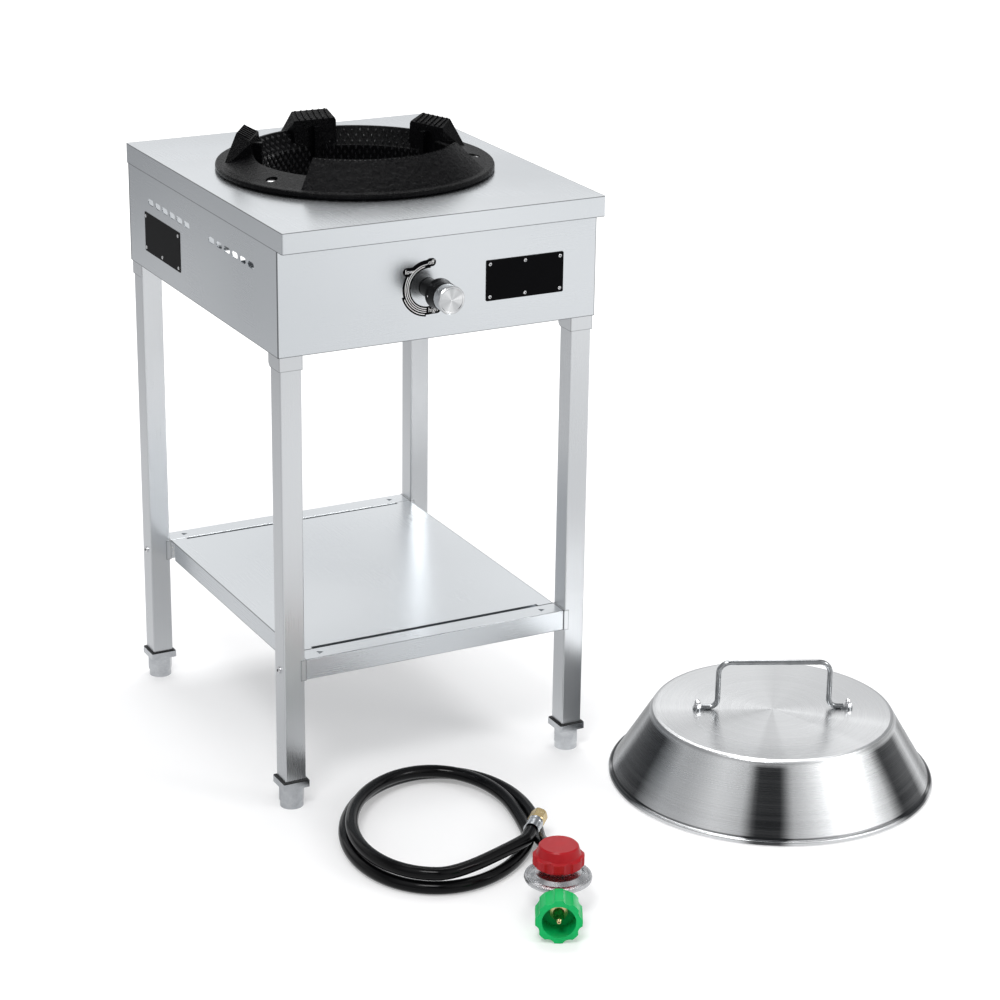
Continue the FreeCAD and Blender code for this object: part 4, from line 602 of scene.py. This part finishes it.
nubs = bmesh.new()
for row in range(NUB_ROWS):
    height = NUB_TOP - row * NUB_RISE
    radius = wall_radius(height)
    lean_up = NUB_LEAN if height > 0 else 0.0
    for number in range(int((NUB_TO - NUB_FROM) / NUB_STEP)):
        angle = NUB_FROM + (number + row % 2 / 2) * NUB_STEP
        if min(abs(angle - fin) for fin in FIN_ANGLES) < FIN_HALF:
            continue
        out = Vector((math.cos(math.radians(angle)), math.sin(math.radians(angle)), 0))
        spot = out * radius + Vector((0, 0, plate_top + height))
        lean = (-out + Vector((0, 0, lean_up))).normalized()
        stand = facing(lean, spot + lean * NUB_PROUD) @ Matrix.Diagonal(NUB_SHAPE)
        bmesh.ops.create_cone(nubs, cap_ends=True, segments=4, radius1=NUB_BASE,
                              radius2=NUB_TIP, depth=NUB_DEEP, matrix=stand)
make_piece("ring_nubs", nubs, nub_iron_painted_highlight, "range")

# %% [markdown]
# ## Sockets of the screws
# A screw is read by its recess. A button-head screw has a hexagon socket. On a head as small as
# these, a dark six-sided inlay, just proud of the steel, shows as the shadow in the socket.

# %% Screw recesses
shadow_black = moulded("socket_shadow", (0.015, 0.015, 0.016), 0.7)
SOCKET_THICK = 0.0004
RING_SOCKET = 0.006
LEG_SOCKET = 0.0045
PLATE_SOCKET = 0.0022


def sockets(name, spots, normal, across):
    """Dark six-sided inlays at the given places, all facing one way: painted shadow in the
    sockets.
    """
    form = bmesh.new()
    for spot in spots:
        bmesh.ops.create_cone(form, cap_ends=True, segments=6, radius1=across / 2,
                              radius2=across / 2, depth=SOCKET_THICK,
                              matrix=facing(normal, Vector(spot)))
    make_piece(name, form, shadow_black, "range")


ring_bolt_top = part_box("ring_bolts")[1].z
RING_BOLT_ANGLES = (-157, -19)
RING_BOLT_RADIUS = 0.178
ring_spots = [(RING_BOLT_RADIUS * math.cos(math.radians(angle)),
               RING_BOLT_RADIUS * math.sin(math.radians(angle)), ring_bolt_top)
              for angle in RING_BOLT_ANGLES]
sockets("ring_bolt_sockets", ring_spots, (0, 0, 1), RING_SOCKET)
rail_low, rail_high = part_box("front_rail")
rail_middle = (rail_low.z + rail_high.z) / 2
bolt_low, bolt_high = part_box("leg_bolts")
for side, edge in ((-1, bolt_low.x), (1, bolt_high.x)):
    spots = []
    for leg in LEGS:
        leg_low, leg_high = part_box(f"{leg}_leg")
        if (leg_low.x + leg_high.x) * side > 0:
            spots.append((edge, (leg_low.y + leg_high.y) / 2, rail_middle))
    sockets(f"leg_bolt_sockets_{'left' if side < 0 else 'right'}", spots, (side, 0, 0),
            LEG_SOCKET)

SCREW_INSET = 0.006
plate_low, plate_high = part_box("name_plate")
plate_middle = (plate_low + plate_high) / 2
plate_half = (plate_high - plate_low) / 2
screw_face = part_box("name_plate_screws")[0].y
plate_spots = []
for column in (-1, 0, 1):
    for row in (-1, 1):
        plate_spots.append((plate_middle.x + (plate_half.x - SCREW_INSET) * column, screw_face,
                            plate_middle.z + (plate_half.z - SCREW_INSET) * row))
sockets("name_plate_screw_sockets", plate_spots, (0, -1, 0), PLATE_SOCKET)

# %% [markdown]
# ## The dial's print
# Round the knob, white lines run from low to high, and more of them join on the way, so that the
# band widens as the flame does. A line is one short edge spun about the knob's axis, which makes
# a strip, and the strip gets a little thickness, as screen print has. The three words are plain
# text, turned into mesh.

# %% Dial lines and words
print_white = moulded("print_white", (0.82, 0.82, 0.82), 0.5, 0.05, 0.03)
DIAL_CENTRE = Vector((KNOB_CENTRE.x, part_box("dial_plate")[0].y, KNOB_CENTRE.z))
PRINT_THICK = 0.00015
DIAL_LINES = ((0.0308, 100, 265), (0.0335, 92, 265), (0.0362, 150, 265), (0.0395, 200, 262))
LINE_WIDTH = 0.0010
LINE_STEPS = 48


def dial_spot(radius, angle, lift):
    """A place over the dial, by its distance and angle from the knob's axis."""
    turn = math.radians(angle)
    return DIAL_CENTRE + Vector((radius * math.cos(turn), -lift, radius * math.sin(turn)))


lines = bmesh.new()
for radius, start, stop in DIAL_LINES:
    inner = lines.verts.new(dial_spot(radius - LINE_WIDTH / 2, start, PRINT_THICK))
    outer = lines.verts.new(dial_spot(radius + LINE_WIDTH / 2, start, PRINT_THICK))
    edge = lines.edges.new((inner, outer))
    bmesh.ops.spin(lines, geom=[inner, outer, edge], cent=DIAL_CENTRE, axis=(0, -1, 0),
                   angle=math.radians(stop - start), steps=LINE_STEPS)
bmesh.ops.recalc_face_normals(lines, faces=lines.faces)
bmesh.ops.solidify(lines, geom=lines.faces[:], thickness=PRINT_THICK)
make_piece("dial_lines", lines, print_white, "range")

DIAL_WORDS = (("off", 0.036, 83), ("low", 0.039, 139), ("high", 0.0345, 283))
WORD_SIZE = 0.0092
for word, radius, angle in DIAL_WORDS:
    text = bpy.data.curves.new(f"word_{word}", "FONT")
    text.body = word
    text.size = WORD_SIZE
    text.align_x = "CENTER"
    text.align_y = "CENTER"
    text.extrude = PRINT_THICK / 2
    source = bpy.data.objects.new(f"word_{word}_text", text)
    mesh = bpy.data.meshes.new_from_object(source)
    bpy.data.objects.remove(source)
    upright = Matrix.Rotation(math.pi / 2, 4, "X")
    mesh.transform(Matrix.Translation(dial_spot(radius, angle, PRINT_THICK)) @ upright)
    settle(f"dial_word_{word}", mesh, print_white, "range")

# %% [markdown]
# ## The knob's mark
# A white dot on the skirt shows where the knob points. It is a flattened ball let into the skirt.

# %% White dot
skirt_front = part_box("knob_skirt")[0].y
SKIRT_RADIUS = 0.0205
DOT_BACK = 0.0155
DOT_RADIUS = 0.0019
DOT_FLAT = 0.55
dot = bmesh.new()
dot_spot = Vector((KNOB_CENTRE.x - SKIRT_RADIUS, skirt_front + DOT_BACK, KNOB_CENTRE.z))
squeeze = Matrix.Diagonal((DOT_FLAT, 1, 1, 1))
bmesh.ops.create_uvsphere(dot, u_segments=20, v_segments=12, radius=DOT_RADIUS,
                          matrix=Matrix.Translation(dot_spot) @ squeeze)
make_piece("knob_dot", dot, print_white, "control_knob", smooth=True)

# %% [markdown]
# ## The floor and the light
# A catalogue picture stands on nothing but white. The floor is a large plain sheet. Near the
# object the camera sees mostly the lit sheet, which keeps the soft shadow under the legs, and
# farther out the sheet turns into a white glow. Polished metal sees something else: a painted
# drift of greys, because a blank white floor would leave it nothing to mirror. Three broad lamps
# light the object. The world fills in, white to the camera and clouded grey to the metal.

# %% Sheets of the studio
def stage_sheet(name, width, depth, stand, finish):
    """A flat sheet of the studio. It isn't part of the object."""
    form = bmesh.new()
    bmesh.ops.create_grid(form, x_segments=1, y_segments=1, size=0.5,
                          matrix=stand @ Matrix.Diagonal((width, depth, 1, 1)))
    mesh = bpy.data.meshes.new(name)
    form.to_mesh(mesh)
    form.free()
    mesh.materials.append(finish.material)
    sheet = bpy.data.objects.new(name, mesh)
    bpy.context.scene.collection.objects.link(sheet)
    print(name, "is", width, "by", depth, "m")
    return sheet


# %% Floor
FLOOR_WIDTH = 28
NEAR_GLOW = 0.22
FAR_REACH = 1.3
FAR_START = 0.7
GLOW_STRENGTH = 1.3
MIRROR_WAY = (1.0, -0.6, 0.0)
MIRROR_DARK = (0.20, 0.205, 0.215)
MIRROR_LIGHT = (0.90, 0.905, 0.91)
MIRROR_SHARE = 0.85
MIRROR_MIDDLE = 0.50
MIRROR_SLOPE = 0.10
floor_finish = Finish("floor_white", roughness=0.9, specular_ior_level=0.0)
floor_finish.shader.inputs["Base Color"].default_value = (0.93, 0.93, 0.935, 1)
ray = floor_finish.tree.nodes.new("ShaderNodeLightPath")
glossy = Shade(floor_finish, ray.outputs["Is Glossy Ray"])
straight = Shade(floor_finish, ray.outputs["Is Camera Ray"]) \
    + Shade(floor_finish, ray.outputs["Is Transmission Ray"])
spread = floor_finish.vector("LENGTH", floor_finish.place((1, 1, 1), (0.2, -0.2, 0)),
                             output="Value")
far = floor_finish.clamped(spread / FAR_REACH - FAR_START)
leaning = floor_finish.vector("DOT_PRODUCT", floor_finish.place(), MIRROR_WAY, "Value")
drift = floor_finish.noise(floor_finish.place((0.9, 0.9, 0.9), (3.1, 1.7, 0)), 1.0, 1.0, 0.5)
painted = floor_finish.clamped(leaning * MIRROR_SLOPE + drift * 0.9 - 0.45 + MIRROR_MIDDLE)
mirrored_look = floor_finish.tint(painted, MIRROR_DARK, MIRROR_LIGHT)
glow_colour = floor_finish.tint(glossy, (1, 1, 1), mirrored_look)
glow = floor_finish.tree.nodes.new("ShaderNodeEmission")
floor_finish.feed(glow.inputs["Color"], glow_colour)
glow.inputs["Strength"].default_value = GLOW_STRENGTH
blend = floor_finish.tree.nodes.new("ShaderNodeMixShader")
floor_finish.feed(blend.inputs[0], straight * (far + NEAR_GLOW) + glossy * MIRROR_SHARE)
floor_finish.tree.links.new(floor_finish.shader.outputs[0], blend.inputs[1])
floor_finish.tree.links.new(glow.outputs[0], blend.inputs[2])
surface = floor_finish.tree.nodes["Material Output"].inputs["Surface"]
floor_finish.tree.links.new(blend.outputs[0], surface)
stage_sheet("floor", FLOOR_WIDTH, FLOOR_WIDTH, Matrix(), floor_finish)

# %% World and lamps
SKY_STRENGTH = 1.1
SKY_WHITE = (1, 1, 1, 1)
SKY_EVEN = (0.60, 0.60, 0.605, 1)
SKY_CLOUDS = ((0.32, (0.24, 0.245, 0.255, 1)), (0.66, (0.92, 0.925, 0.93, 1)))
CLOUD_SCALE = 1.6

world = bpy.data.worlds.new("studio")
bpy.context.scene.world = world
world.use_nodes = True
sky = world.node_tree
background = sky.nodes["Background"]
background.inputs["Strength"].default_value = SKY_STRENGTH
path = sky.nodes.new("ShaderNodeLightPath")
where = sky.nodes.new("ShaderNodeTexCoord")
cloud = sky.nodes.new("ShaderNodeTexNoise")
cloud.inputs["Scale"].default_value = CLOUD_SCALE
cloud.inputs["Detail"].default_value = 0.0
sky.links.new(where.outputs["Generated"], cloud.inputs["Vector"])
ramp = sky.nodes.new("ShaderNodeValToRGB")
for stop, (position, tone) in zip(ramp.color_ramp.elements, SKY_CLOUDS):
    stop.position = position
    stop.color = tone
sky.links.new(cloud.outputs[0], ramp.inputs["Fac"])


def sky_layer(ray):
    """A mix that shows its second colour to one kind of ray."""
    layer = sky.nodes.new("ShaderNodeMix")
    layer.data_type = "RGBA"
    sky.links.new(path.outputs[ray], layer.inputs["Factor"])
    return layer


mirrored = sky_layer("Is Glossy Ray")
mirrored.inputs[6].default_value = SKY_EVEN
sky.links.new(ramp.outputs["Color"], mirrored.inputs[7])
seen = sky_layer("Is Camera Ray")
sky.links.new(mirrored.outputs[2], seen.inputs[6])
seen.inputs[7].default_value = SKY_WHITE
sky.links.new(seen.outputs[2], background.inputs["Color"])


def lamp(name, place, target, size, power):
    data = bpy.data.lights.new(name, "AREA")
    data.shape = "RECTANGLE"
    data.size, data.size_y = size
    data.energy = power
    light = bpy.data.objects.new(name, data)
    bpy.context.scene.collection.objects.link(light)
    light.location = place
    light.rotation_mode = "QUATERNION"
    light.rotation_quaternion = (Vector(target) - Vector(place)).to_track_quat("-Z", "Y")
    print("lamp", name, "gives", power, "W")


lamp("key", (-1.6, -2.2, 3.4), (0, -0.1, 0.5), (1.4, 1.0), 60)
lamp("fill", (2.6, -3.4, 2.4), (0.2, -0.2, 0.5), (1.2, 1.2), 30)
lamp("top", (0.5, 0.9, 3.2), (0.1, -0.1, 0.6), (2.2, 1.4), 55)

card_black = moulded("card_black", (0.012, 0.012, 0.013), 0.9)
CARD_TARGET = (0.46, -0.49, 0.05)


def dark_card(name, place, width, depth):
    """A black sheet for round metal to mirror. The camera itself doesn't see it."""
    aim = (Vector(CARD_TARGET) - Vector(place)).to_track_quat("-Z", "Y").to_matrix().to_4x4()
    card = stage_sheet(name, width, depth, Matrix.Translation(place) @ aim, card_black)
    card.visible_camera = False


dark_card("card_behind_camera", (-2.2, -4.6, 3.1), 2.4, 2.2)
dark_card("card_right", (4.4, -1.9, 1.2), 1.3, 2.0)

# %% [markdown]
# ## Closing up
# The view transform is the plain one, so a colour comes out as it was written.

# %% Finish
bpy.context.scene.view_settings.view_transform = "Standard"
